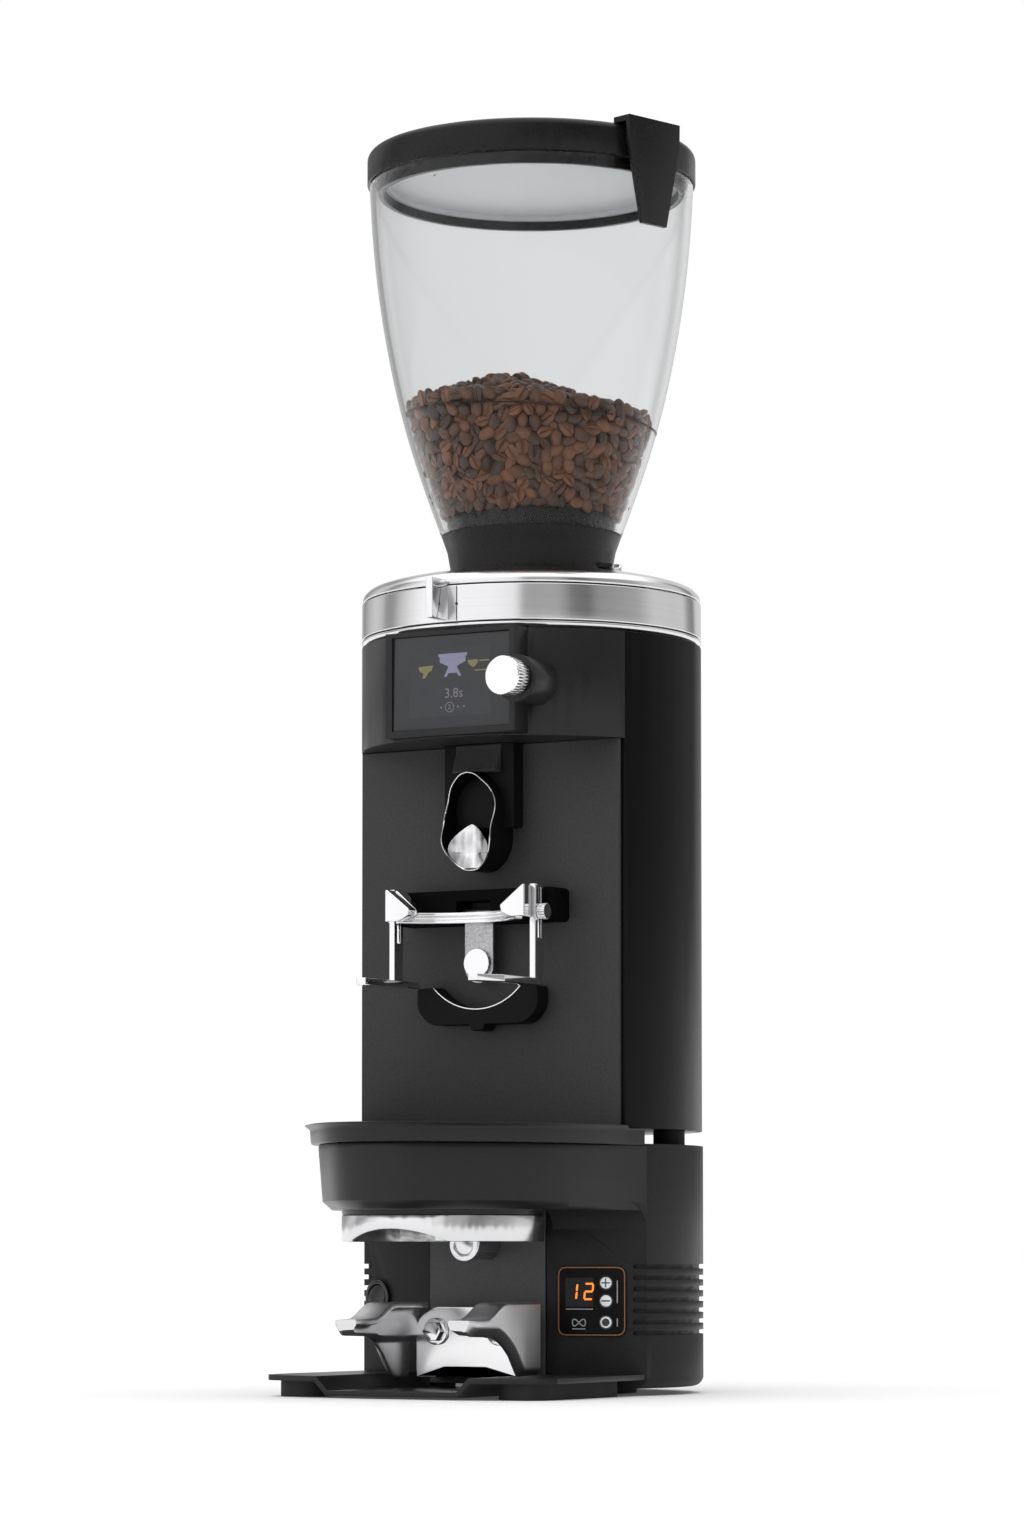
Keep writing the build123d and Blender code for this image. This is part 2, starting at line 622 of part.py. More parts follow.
def sensor_housing():
    """The barrel behind the collar that senses the portafilter, and its steel face."""
    face = rod_y(9.4, 0, 84, -75.6, -73) + box(-19, 19, -75.6, -73, 86, 90)
    barrel = rod_y(8.6, 0, 84, -73.1, -49.3)
    bore = rod_y(5.75, 0, 84, -77, -68)
    return face + barrel - bore


def sensor_button():
    return rod_y(5.65, 0, 84, -75.2, -70.5)


def tamp_piston():
    """The tamping foot with its rod."""
    foot = rod(28.8, 97, 102.5, 0, TAMP_Y)
    foot = chamfer(foot.edges().group_by(Axis.Z)[0], 0.6)
    return foot + rod(9, 102, 134.5, 0, TAMP_Y)


def press_nut():
    """The large gear whose threaded hub drives the piston's rod."""
    wheel = gear(NUT_TEETH, GEAR_THICK, 90)
    for i in range(6):
        wheel -= Rot(0, 0, 60 * i + 30) * at(30, 0, 0) * Cylinder(10, 20)
    wheel += Cylinder(14, 8) - Cylinder(5, 9)
    return at(0, TAMP_Y, GEAR_Z + GEAR_THICK / 2) * (wheel - Cylinder(9.05, 30))


def motor_pinion():
    """The small gear on the press motor's shaft."""
    pinion = gear(PINION_TEETH, GEAR_THICK, 90 + 180 / PINION_TEETH)
    return at(0, PINION_Y, GEAR_Z + GEAR_THICK / 2) * pinion + rod(4, 96, 112, 0, PINION_Y)


def tamp_motor():
    """The press motor and gearbox inside the column."""
    can = rod(22, 20, 72, 0, PINION_Y) + rod(24, 72, 104, 0, PINION_Y)
    foot = box(-30, 30, PINION_Y - 20, PINION_Y + 20, 8.2, 20.5)
    return can + foot - rod(4.05, 95, 110, 0, PINION_Y)


# ---- cradle, base plate and feet ---------------------------------------------------
BOLT_X, BOLT_Z = 20.4, 35.5


def portafilter_cradle():
    """The cast lower fork: a block with two prongs."""
    back = -49.6
    block = front_prism([(-37.6, 9.7), (-20.5, 9.7), (-16.8, 15.3), (12.8, 15.3), (17, 9.7), (37.6, 9.7),
                         (37.6, 42), (24, 49.5), (-22, 49.5), (-37.6, 42)], -71, back)
    web = [(back, 9.7), (-75, 9.7), (-78, 15), (-84, 22.5), (-96, 31), (-104, 33), (-138, 33.4), (-141.8, 36),
           (-141.8, 42.4), (-126, 42.4), (-106, 50.5), (back, 51)]
    rail = [(-141.8, 43), (-141.8, 39), (-125, 39), (-106, 47), (back, 47), (back, 52), (-106, 52),
            (-124, 43.2)]
    flange = [(back, 33), (-138, 33.4), (-141.8, 36), (-141.8, 42.4), (-126, 42.4), (-106, 51), (back, 51)]
    arms = []
    for side in (-1, 1):
        spans = [sorted((side * a, side * b)) for a, b in ((37.5, 41.5), (26.5, 45.8), (33, 45.8))]
        arms.append(side_prism(web, *spans[0]) + side_prism(rail, *spans[1]) + side_prism(flange, *spans[2]))
    body = block + arms[0] + arms[1]
    for x in (-BOLT_X, BOLT_X):
        slot = extrude(SlotOverall(17, 6.6, rotation=90), 20, both=True)
        slot = at(x, -60, BOLT_Z - 1) * Rot(90, 0, 0) * slot
        body -= slot
    return body


def cradle_bolts():
    """Two hexagon bolts with washers, and the stop screw on its block below."""
    pieces = []
    for x in (-BOLT_X, BOLT_X):
        shank = rod_y(3, x, BOLT_Z, -71.2, -45)
        washer = rod_y(7.6, x, BOLT_Z, -72.9, -71.3)
        head = at(x, -75, BOLT_Z) * Rot(90, 0, 0) * extrude(RegularPolygon(5.9, 6), 2.2, both=True)
        pieces.append(shank + washer + head)
    stop = box(-9, 9, -70, -52, 4.2, 6.6) + rod(2.4, 6, 11, 0, -62)
    return pieces + [stop]


def base_plate():
    """The folded plate under the whole stand: a valley between two raised wings."""
    thick, valley, wing = 3.0, 1.2, 9.0
    edge = 96
    section = [(-edge, wing), (-50, wing), (-42, valley), (42, valley), (50, wing), (edge, wing),
               (edge, wing + thick), (48.7, wing + thick), (40.7, valley + thick), (-40.7, valley + thick),
               (-48.7, wing + thick), (-edge, wing + thick)]
    slab = front_prism(section, -153, -20)
    half = [(60, -20), (92, -34), (94.5, -110), (92.5, -133), (86, -142), (60, -152), (48, -153)]
    plan = make_face(Polyline(*half, *[(-x, y) for x, y in reversed(half)], close=True))
    plate = slab & extrude(plan, 30)
    column = extrude(at(0, 0, 3.9) * base_outline(-0.2), 40)
    return plate - column


def rubber_pads():
    """The pad under the column, the long front feet, and the spacers under the grinder."""
    column = rod(60, 0, 4) - box(-61, 61, -70, -19.8, -1, 5)
    feet = [at(side * 70, -92, 4.5) * rounded_slab(30, 96, 9, 12) for side in (-1, 1)]
    spacers = [rod(9, BASE_TOP, GRINDER_Z, x, y) for x, y in ((72, 32), (-72, 32), (60, -18), (-60, -18))]
    return [column] + feet + spacers


# ---- mains -------------------------------------------------------------------------
def inlet(z):
    """A three-pin appliance inlet, open to the rear."""
    block = box(-14, 14, 84, 98.5, z, z + 20)
    block -= box(-12, 12, 86, 110, z + 2, z + 18)
    pins = [box(x - 1, x + 1, 84, 96, z + 5, z + 9) for x in (-7, 7)]
    pins.append(box(-1, 1, 84, 96, z + 11, z + 15))
    return block + pins


def mains_inlets():
    """Both inlets and the rear switch's frame."""
    return [inlet(172), inlet(27), rear_bezel()]


def rear_bezel():
    """The rear switch's frame above the grinder's inlet."""
    return box(-9, 9, 84, 98.4, 203, 221) - box(-7.2, 7.2, 80, 110, 204.8, 219.2)


def rear_rocker():
    """The rear switch's tilting key, round about its pivot."""
    y0, z0, tilt = 92.0, 212.0, radians(7)
    flats = [(-6, -6.9), (4.4, -6.9), (5.6, 0), (4.4, 6.9), (-6, 6.9)]
    turned_flats = [(y0 + y * cos(tilt) - z * sin(tilt), z0 + y * sin(tilt) + z * cos(tilt))
                    for y, z in flats]
    return rod_x(6.9, y0, z0, -6.9, 6.9) & side_prism(turned_flats, -7, 7)


PIECES = [
    hopper_bowl, coffee_beans, hopper_neck, bean_gate, gate_knob, lid_band, lid_disc, lid_flap,
    top_cap, adjusting_ring, ring_lever, bevel_ring, burr_housing, upper_burr_carrier, upper_burr,
    lower_burr, lower_burr_carrier, motor_rotor, motor_stator, shaft_bearings, head_housing,
    display_bezel, display_screen, knob_shaft, control_knob, front_panel, rear_housing, grinder_floor,
    control_board, chute_block, chute_liner, fork_bracket, fork_wings, fork_arms, thumb_screws,
    lower_bracket, trigger_lever, tamper_body, tamper_hood, column_wall, catch_tray, control_panel,
    plus_button, minus_button, set_button, rocker_bezel, tamper_rocker, steel_collar, sensor_housing,
    sensor_button, tamp_piston, press_nut, motor_pinion, tamp_motor, portafilter_cradle, cradle_bolts,
    base_plate, rubber_pads, mains_inlets, rear_rocker,
]


def main():
    os.makedirs("parts", exist_ok=True)
    for make in PIECES:
        shape = make()
        if isinstance(shape, list):
            shape = Compound(children=[s for s in shape])
        export_step(shape, f"parts/{make.__name__}.step")


main()
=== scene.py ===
import json
from math import cos, pi, radians, sin, sqrt

import bmesh
import bpy
import numpy as np
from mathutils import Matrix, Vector


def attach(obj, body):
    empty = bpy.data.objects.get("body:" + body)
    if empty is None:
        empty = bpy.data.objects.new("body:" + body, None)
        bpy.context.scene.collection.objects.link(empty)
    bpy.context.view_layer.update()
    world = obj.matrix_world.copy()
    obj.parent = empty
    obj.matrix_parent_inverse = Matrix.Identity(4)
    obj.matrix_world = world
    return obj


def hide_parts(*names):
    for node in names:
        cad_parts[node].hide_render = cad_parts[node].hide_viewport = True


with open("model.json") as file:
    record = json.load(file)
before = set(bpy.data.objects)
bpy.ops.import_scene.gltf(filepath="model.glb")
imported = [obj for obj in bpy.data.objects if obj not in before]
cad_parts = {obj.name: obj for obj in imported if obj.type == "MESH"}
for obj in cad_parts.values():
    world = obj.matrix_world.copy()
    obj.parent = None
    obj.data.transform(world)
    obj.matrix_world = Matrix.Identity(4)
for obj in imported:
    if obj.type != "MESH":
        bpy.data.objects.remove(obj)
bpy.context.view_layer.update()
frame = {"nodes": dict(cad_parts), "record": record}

MM = 0.001
NODES = frame["nodes"]


# ---- camera, light and floor ---------------------------------------------------------
VIEW_TURN = radians(30)
RIGHT = Vector((cos(VIEW_TURN), sin(VIEW_TURN), 0))
AHEAD = Vector((-sin(VIEW_TURN), cos(VIEW_TURN), 0))
STAND_OFF, ASIDE, EYE_HEIGHT = 2.66848, 0.00265, 0.0779
YAW, PITCH = -0.00322, 0.0551


def set_camera():
    """A long lens low down, turned a little up, with part of the rise taken by the shift."""
    data = bpy.data.cameras.new("camera")
    data.sensor_width, data.lens, data.shift_y = 36.0, 109.25, 0.15
    data.clip_start, data.clip_end = 0.05, 60
    camera = bpy.data.objects.new("camera", data)
    camera.location = -STAND_OFF * AHEAD - ASIDE * RIGHT + Vector((0, 0, EYE_HEIGHT))
    level = AHEAD * cos(YAW) + RIGHT * sin(YAW)
    look = level * cos(PITCH) + Vector((0, 0, sin(PITCH)))
    camera.rotation_mode = "QUATERNION"
    camera.rotation_quaternion = look.to_track_quat("-Z", "Y")
    bpy.context.scene.collection.objects.link(camera)
    bpy.context.scene.camera = camera


# brightness of the panels by azimuth in degrees, 0 straight in front, and of the ceiling
STUDIO_RING = [(-180, 0.72), (-150, 0.72), (-134, 0.45), (-126, 0.3), (-118, 0.5), (-102, 0.75),
               (-92, 0.65), (-86, 0.36), (-78, 0.36), (-70, 0.67), (-54, 1.1), (-46, 1.24),
               (-30, 1.2), (2, 1.18), (19, 1.05), (25, 0.45), (48, 0.47), (58, 0.22),
               (68, 0.18), (76, 0.34), (106, 0.45), (114, 0.6), (121, 0.72), (132, 0.72),
               (140, 0.7), (155, 0.72), (163, 0.35), (172, 0.25), (178, 0.7)]
STUDIO_TOP = 1.7
CEILING_FROM, CEILING_FULL = 0.55, 0.85
FLOOR_HALF = 30


def set_light():
    """A ring of soft panels round the object, bright in front, under a pale ceiling."""
    world = bpy.data.worlds.new("studio")
    bpy.context.scene.world = world
    world.use_nodes = True
    nodes, links = world.node_tree.nodes, world.node_tree.links
    nodes.clear()

    def math(kind, a, b=None):
        """The result of one sum on numbers or on other nodes' results."""
        node = nodes.new("ShaderNodeMath")
        node.operation = kind
        for socket, value in zip(node.inputs, (a, b)):
            if isinstance(value, (int, float)):
                socket.default_value = value
            elif value is not None:
                links.new(value, socket)
        return node.outputs[0]
    split = nodes.new("ShaderNodeSeparateXYZ")
    links.new(nodes.new("ShaderNodeTexCoord").outputs["Generated"], split.inputs[0])
    x, y, z = split.outputs
    turn = math("ADD", math("DIVIDE", math("ARCTAN2", x, math("MULTIPLY", y, -1.0)), 2 * pi), 0.5)
    ring = nodes.new("ShaderNodeValToRGB")
    stops = ring.color_ramp.elements
    for k, (azimuth, level) in enumerate(STUDIO_RING):
        stop = stops[k] if k < 2 else stops.new(1.0)
        stop.position = azimuth / 360 + 0.5
        stop.color = (level, level, level, 1)
    links.new(turn, ring.inputs["Fac"])
    rise = nodes.new("ShaderNodeMapRange")
    rise.interpolation_type = "SMOOTHSTEP"
    rise.inputs["From Min"].default_value = CEILING_FROM
    rise.inputs["From Max"].default_value = CEILING_FULL
    links.new(z, rise.inputs["Value"])
    ceiling = nodes.new("ShaderNodeMix")
    ceiling.data_type = "RGBA"
    links.new(rise.outputs[0], ceiling.inputs["Factor"])
    links.new(ring.outputs["Color"], ceiling.inputs["A"])
    ceiling.inputs["B"].default_value = (STUDIO_TOP, STUDIO_TOP, STUDIO_TOP, 1)
    out = nodes.new("ShaderNodeOutputWorld")
    seen, lit = nodes.new("ShaderNodeBackground"), nodes.new("ShaderNodeBackground")
    seen.inputs["Color"].default_value = (1, 1, 1, 1)
    links.new(ceiling.outputs["Result"], lit.inputs["Color"])
    mix, path = nodes.new("ShaderNodeMixShader"), nodes.new("ShaderNodeLightPath")
    links.new(path.outputs["Is Camera Ray"], mix.inputs[0])
    links.new(lit.outputs[0], mix.inputs[1])
    links.new(seen.outputs[0], mix.inputs[2])
    links.new(mix.outputs[0], out.inputs[0])
    scene = bpy.context.scene
    scene.view_settings.view_transform = "Standard"
    scene.view_settings.look = "None"


# ---- finishes ------------------------------------------------------------------------
def finish(name, colour, rough, metal=0.0, vary=0.12, grain=900, relief=0.00002, fine=2600,
           stretch=(1, 1, 1), rough_vary=0.06, extra=None):
    """A surface whose colour and roughness wander with a soft noise and whose relief is a finer one."""
    mat = bpy.data.materials.new(name)
    mat.use_nodes = True
    nodes, links = mat.node_tree.nodes, mat.node_tree.links
    bsdf = nodes["Principled BSDF"]
    bsdf.inputs["Metallic"].default_value = metal
    for socket, value in (extra or {}).items():
        bsdf.inputs[socket].default_value = value
    where = nodes.new("ShaderNodeTexCoord")
    place = nodes.new("ShaderNodeMapping")
    place.inputs["Scale"].default_value = stretch
    links.new(where.outputs["Object"], place.inputs["Vector"])
    broad = nodes.new("ShaderNodeTexNoise")
    broad.inputs["Scale"].default_value = grain
    broad.inputs["Detail"].default_value = 3
    links.new(place.outputs["Vector"], broad.inputs["Vector"])
    tint = nodes.new("ShaderNodeValToRGB")
    low = [max(0.0, c * (1 - vary)) for c in colour]
    high = [min(1.0, c * (1 + vary)) for c in colour]
    tint.color_ramp.elements[0].position, tint.color_ramp.elements[1].position = 0.3, 0.7
    tint.color_ramp.elements[0].color = (*low, 1)
    tint.color_ramp.elements[1].color = (*high, 1)
    links.new(broad.outputs["Fac"], tint.inputs["Fac"])
    links.new(tint.outputs["Color"], bsdf.inputs["Base Color"])
    spread = nodes.new("ShaderNodeMapRange")
    spread.inputs["From Min"].default_value, spread.inputs["From Max"].default_value = 0.3, 0.7
    spread.inputs["To Min"].default_value = max(0.0, rough - rough_vary)
    spread.inputs["To Max"].default_value = rough + rough_vary
    links.new(broad.outputs["Fac"], spread.inputs["Value"])
    links.new(spread.outputs["Result"], bsdf.inputs["Roughness"])
    if relief:
        small = nodes.new("ShaderNodeTexNoise")
        small.inputs["Scale"].default_value = fine
        small.inputs["Detail"].default_value = 2
        links.new(place.outputs["Vector"], small.inputs["Vector"])
        bump = nodes.new("ShaderNodeBump")
        bump.inputs["Distance"].default_value = relief
        bump.inputs["Strength"].default_value = 1.0
        links.new(small.outputs["Fac"], bump.inputs["Height"])
        links.new(bump.outputs["Normal"], bsdf.inputs["Normal"])
    return mat


def shaded_by(mat, attribute, low, high):
    """Multiplies the finish's colour by a number that each point carries, between low and high."""
    nodes, links = mat.node_tree.nodes, mat.node_tree.links
    bsdf = nodes["Principled BSDF"]
    source = bsdf.inputs["Base Color"].links[0].from_socket
    carried, spread, scaled = (nodes.new(kind) for kind in ("ShaderNodeAttribute", "ShaderNodeMapRange",
                                                            "ShaderNodeVectorMath"))
    carried.attribute_name = attribute
    spread.inputs["To Min"].default_value, spread.inputs["To Max"].default_value = low, high
    links.new(carried.outputs["Fac"], spread.inputs["Value"])
    scaled.operation = "SCALE"
    links.new(source, scaled.inputs[0])
    links.new(spread.outputs["Result"], scaled.inputs["Scale"])
    links.new(scaled.outputs["Vector"], bsdf.inputs["Base Color"])


POWDER = finish("powder_black", (0.038, 0.038, 0.039), 0.5, vary=0.15, grain=700, relief=0.00001,
                fine=2200, extra={"Specular IOR Level": 0.2})
CHARCOAL = finish("charcoal_wall", (0.085, 0.085, 0.087), 0.5, vary=0.1, grain=700, relief=0.000004,
                  fine=2200, extra={"Specular IOR Level": 0.2})
MOULDED = finish("moulded_black", (0.008, 0.008, 0.0085), 0.3, vary=0.1, grain=500, relief=0.000001,
                 extra={"Specular IOR Level": 0.2})
GLOSS_BLACK = finish("gloss_black", (0.012, 0.012, 0.013), 0.16, vary=0.1, grain=300, relief=0)
DARK_GLASS = finish("dark_glass", (0.03, 0.031, 0.034), 0.12, vary=0.05, grain=60, relief=0,
                    extra={"Specular IOR Level": 0.35})
TURNED = finish("turned_aluminium", (0.74, 0.74, 0.75), 0.13, metal=1, vary=0.02, grain=30, relief=0,
                stretch=(0.4, 0.4, 22), rough_vary=0.02)
SATIN = finish("satin_steel", (0.74, 0.74, 0.75), 0.22, metal=1, vary=0.02, grain=30, relief=0,
               stretch=(1, 1, 8), rough_vary=0.02)
POLISHED = finish("polished_steel", (0.80, 0.80, 0.81), 0.09, metal=1, vary=0.03, grain=40,
                  relief=0.000002, fine=300, rough_vary=0.03)
CAST = finish("cast_grey", (0.22, 0.22, 0.23), 0.5, metal=0.6, vary=0.2, grain=400)
BURR_STEEL = finish("ground_steel", (0.45, 0.45, 0.47), 0.3, metal=1, vary=0.1, grain=300)
PALE = finish("pale_moulding", (0.60, 0.61, 0.62), 0.4, vary=0.04, grain=200, relief=0)
RUBBER = finish("black_rubber", (0.014, 0.014, 0.014), 0.75, vary=0.2, grain=500)
BRUSHED = finish("brushed_lever", (0.4, 0.4, 0.41), 0.36, metal=1, vary=0.25, grain=700,
                 relief=0.000006, fine=1400)
BOARD = finish("circuit_board", (0.02, 0.15, 0.07), 0.4, vary=0.2, grain=300)
BUTTON = finish("lit_button", (0.80, 0.82, 0.83), 0.3, vary=0.05, grain=300, relief=0,
                extra={"Emission Color": (0.9, 0.95, 1, 1), "Emission Strength": 0.12})
ROAST = finish("roasted_bean", (0.08, 0.028, 0.009), 0.34, vary=0.4, grain=120, relief=0.00008,
               fine=1500, extra={"Specular IOR Level": 0.35})
shaded_by(ROAST, "roast_shade", 0.4, 2.1)
# painted shade: the near-black brown of the bed stands in for the shade deep among the beans
BEAN_SHADE_PAINT = finish("bean_shadow", (0.02, 0.009, 0.004), 0.7, vary=0.3, grain=150, relief=0)
KNOB_METAL = finish("knob_metal", (0.93, 0.93, 0.94), 0.14, metal=1, vary=0.02, grain=60,
                    relief=0.000001, fine=400)
LCD = finish("screen_field", (0.02, 0.021, 0.026), 0.2, vary=0.1, grain=200, relief=0)
SIGN_LILAC = finish("sign_lilac", (0.12, 0.12, 0.18), 0.4, vary=0.05, grain=400, relief=0,
                    extra={"Emission Color": (0.5, 0.5, 0.72, 1), "Emission Strength": 0.16})
SIGN_GREY = finish("sign_grey", (0.12, 0.12, 0.14), 0.4, vary=0.05, grain=400, relief=0,
                   extra={"Emission Color": (0.5, 0.5, 0.55, 1), "Emission Strength": 0.06})
SIGN_OLIVE = finish("sign_olive", (0.15, 0.14, 0.06), 0.4, vary=0.05, grain=400, relief=0,
                    extra={"Emission Color": (0.4, 0.36, 0.14, 1), "Emission Strength": 0.05})
ORANGE_PRINT = finish("orange_print", (0.26, 0.10, 0.02), 0.4, vary=0.1, grain=400, relief=0)
LED = finish("lit_figure", (0.9, 0.25, 0.02), 0.4, vary=0.05, grain=900, relief=0,
             extra={"Emission Color": (1.0, 0.2, 0.01, 1), "Emission Strength": 1.1})
PRINT_GREY = finish("grey_print", (0.42, 0.43, 0.44), 0.5, vary=0.08, grain=600, relief=0)
POWDER_SATIN = finish("satin_black", (0.014, 0.014, 0.0145), 0.3, vary=0.1, grain=700, relief=0.000001,
                      fine=2200, rough_vary=0.02, extra={"Specular IOR Level": 0.25})
# painted shade: the rear housing's black is darker than the other blacks for the shade on its side away
# from the light
SHADED_SIDE_BLACK = finish("shaded_casing_black", (0.0045, 0.0045, 0.005), 0.32, vary=0.1, grain=700, relief=0.000001,
                    fine=2200, rough_vary=0.02, extra={"Specular IOR Level": 0.08})
BASE_BLACK = finish("base_black", (0.022, 0.022, 0.023), 0.4, vary=0.1, grain=700, relief=0.000001,
                    fine=2200, rough_vary=0.02, extra={"Specular IOR Level": 0.1})
CAST_BRIGHT = finish("polished_casting", (0.84, 0.84, 0.85), 0.2, metal=1, vary=0.02, grain=60, relief=0,
                     rough_vary=0.02)
CAST_SATIN = finish("satin_casting", (0.7, 0.7, 0.71), 0.36, metal=1, vary=0.02, grain=60, relief=0,
                    rough_vary=0.02)
# painted shade: all but black, for the inside of the spout's bore and the fork bracket's hole, where shade
# falls
BORE_SHADE_BLACK = finish("bore_shade_black", (0.002, 0.002, 0.002), 0.7, vary=0.1, grain=300, relief=0,
                    extra={"Specular IOR Level": 0.05})
# painted shade: a darker copy of the black plastic for the spout's skin and block, the bracket and the
# control panel, where they lie in shade
SHADE_PAINTED_BLACK = finish("shaded_black", (0.006, 0.006, 0.0065), 0.4, vary=0.15, grain=500, relief=0.00001,
                    extra={"Specular IOR Level": 0.08})
TONGUE = finish("drawn_steel", (0.62, 0.62, 0.63), 0.2, metal=1, vary=0.45, grain=240, relief=0.000006,
                fine=500, stretch=(1, 1, 0.04))
CLEAR = finish("clear_wall", (0.99, 0.995, 1.0), 0.02, vary=0.0, grain=20, relief=0, rough_vary=0.005,
               extra={"Transmission Weight": 1.0, "IOR": 1.2})

FLOOR = finish("pale_floor", (0.9, 0.9, 0.9), 0.7, vary=0.004, grain=3, relief=0,
               extra={"Emission Color": (1, 1, 1, 1), "Emission Strength": 0.06,
                      "Specular IOR Level": 0.1})

NODE_FINISH = {
    POWDER: "front_panel",
    POWDER_SATIN: ("head_housing grinder_floor fork_bracket lower_bracket tamper_hood base_plate "
                   "catch_tray"),
    SHADED_SIDE_BLACK: "rear_housing",
    BASE_BLACK: "tamper_body",
    CHARCOAL: "column_wall",
    MOULDED: ("hopper_neck bean_gate lid_band lid_flap display_bezel chute_block rocker_bezel "
              "mains_inlets rear_rocker control_panel"),
    GLOSS_BLACK: "tamper_rocker",
    DARK_GLASS: "display_screen",
    TURNED: "top_cap adjusting_ring bevel_ring",
    SATIN: "trigger_lever steel_collar sensor_housing sensor_button tamp_piston",
    POLISHED: ("gate_knob ring_lever knob_shaft control_knob chute_liner fork_wings fork_arms "
               "thumb_screws portafilter_cradle cradle_bolts"),
    CAST: "burr_housing upper_burr_carrier lower_burr_carrier motor_stator tamp_motor",
    BURR_STEEL: "upper_burr lower_burr motor_rotor shaft_bearings press_nut motor_pinion",
    PALE: "lid_disc",
    RUBBER: "rubber_pads",
    BOARD: "control_board",
    BUTTON: "plus_button minus_button set_button",
    ROAST: "coffee_beans",
    CLEAR: "hopper_bowl",
}


# ---- making meshes -------------------------------------------------------------------
SHARP_ANGLE = radians(38)


def grid_faces(rows, cols, wrap_rows=False, wrap_cols=False, flip=False):
    """Quads of a grid of rows by cols points, numbered row by row."""
    i = np.arange(rows if wrap_rows else rows - 1)[:, None]
    j = np.arange(cols if wrap_cols else cols - 1)[None, :]
    i2, j2 = (i + 1) % rows, (j + 1) % cols
    quads = np.stack([i * cols + j, i * cols + j2, i2 * cols + j2, i2 * cols + j], -1).reshape(-1, 4)
    return quads[:, ::-1] if flip else quads


def piece(name, points, faces, mat, body, slot, weld=0.0, smooth=True, bevel=0.0, outward=False):
    """One object of the given points in millimetres, riding on a body, with its finish.

    weld joins points nearer than that many millimetres, outward turns every face out, and bevel
    breaks the sharp edges by that width.
    """
    mesh = bpy.data.meshes.new(name)
    points = np.asarray(points, float).reshape(-1, 3) * MM
    mesh.from_pydata(points.tolist(), [], [list(map(int, f)) for f in faces])
    if weld or outward:
        work = bmesh.new()
        work.from_mesh(mesh)
        if weld:
            bmesh.ops.remove_doubles(work, verts=work.verts, dist=weld * MM)
        if outward:
            bmesh.ops.recalc_face_normals(work, faces=work.faces)
        work.to_mesh(mesh)
        work.free()
    mesh.validate()
    if smooth:
        mesh.polygons.foreach_set("use_smooth", np.ones(len(mesh.polygons), bool))
        if not bevel:
            mesh.set_sharp_from_angle(angle=SHARP_ANGLE)
    obj = bpy.data.objects.new(name, mesh)
    bpy.context.scene.collection.objects.link(obj)
    if bevel:
        edge = obj.modifiers.new("edge", "BEVEL")
        edge.width, edge.segments, edge.limit_method = bevel * MM, 3, "ANGLE"
        edge.angle_limit, edge.harden_normals = radians(30), True
    mesh.materials.append(mat)
    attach(obj, body)
    return obj


def closed_turn(turns, rows):
    """Faces of a section carried right round, with the rings at its two ends closed over."""
    ends = [list(range(0, turns * rows, rows))[::-1], list(range(rows - 1, turns * rows, rows))]
    return grid_faces(turns, rows, True).tolist() + ends


def rounded(points, radius, steps=5):
    """A closed outline whose every corner is a short parabola, radius along each side at most."""
    p = np.asarray(points, float)
    back, on = np.roll(p, 1, 0) - p, np.roll(p, -1, 0) - p
    lb, lo = np.linalg.norm(back, axis=1), np.linalg.norm(on, axis=1)
    r = np.minimum(np.broadcast_to(radius, lb.shape), 0.49 * np.minimum(lb, lo))
    a, b = p + back / lb[:, None] * r[:, None], p + on / lo[:, None] * r[:, None]
    s = np.linspace(0, 1, steps)[None, :, None]
    curve = (1 - s) ** 2 * a[:, None] + 2 * s * (1 - s) * p[:, None] + s ** 2 * b[:, None]
    return curve.reshape(-1, p.shape[1])


def spline(points, count):
    """count points on the natural cubic through the given ones, spaced by chord length."""
    p = np.asarray(points, float)
    t = np.concatenate([[0], np.cumsum(np.linalg.norm(np.diff(p, axis=0), axis=1))])
    n, h = len(p), np.diff(t)
    system, right = np.eye(n), np.zeros_like(p)
    k = np.arange(1, n - 1)
    system[k, k - 1], system[k, k], system[k, k + 1] = h[:-1], 2 * (h[:-1] + h[1:]), h[1:]
    right[1:-1] = 6 * ((p[2:] - p[1:-1]) / h[1:, None] - (p[1:-1] - p[:-2]) / h[:-1, None])
    m = np.linalg.solve(system, right)
    q = np.linspace(0, t[-1], count)
    i = np.clip(np.searchsorted(t, q, "right") - 1, 0, n - 2)
    a, b, w = (t[i + 1] - q)[:, None], (q - t[i])[:, None], h[i][:, None]
    return (m[i] * a ** 3 + m[i + 1] * b ** 3) / (6 * w) + (p[i] / w - m[i] * w / 6) * a \
        + (p[i + 1] / w - m[i + 1] * w / 6) * b


def area_twice(outline):
    """Twice the signed area of a closed outline: above zero where it runs anticlockwise."""
    a, b = outline.T
    return np.sum(a * np.roll(b, -1) - np.roll(a, -1) * b)


def turned(name, profile, mat, body, slot, segments=192, **how):
    """A closed (radius, height) profile carried round the Z axis."""
    profile = np.asarray(profile, float)
    turn = np.linspace(0, 2 * pi, segments, endpoint=False)[:, None]
    r, z = profile[None, :, 0], profile[None, :, 1]
    points = np.stack([r * np.cos(turn), r * np.sin(turn), z + 0 * turn], -1)
    faces = grid_faces(segments, len(profile), True, True)
    if area_twice(profile) > 0:
        faces = faces[:, ::-1]
    return piece(name, points, faces, mat, body, slot, **how)


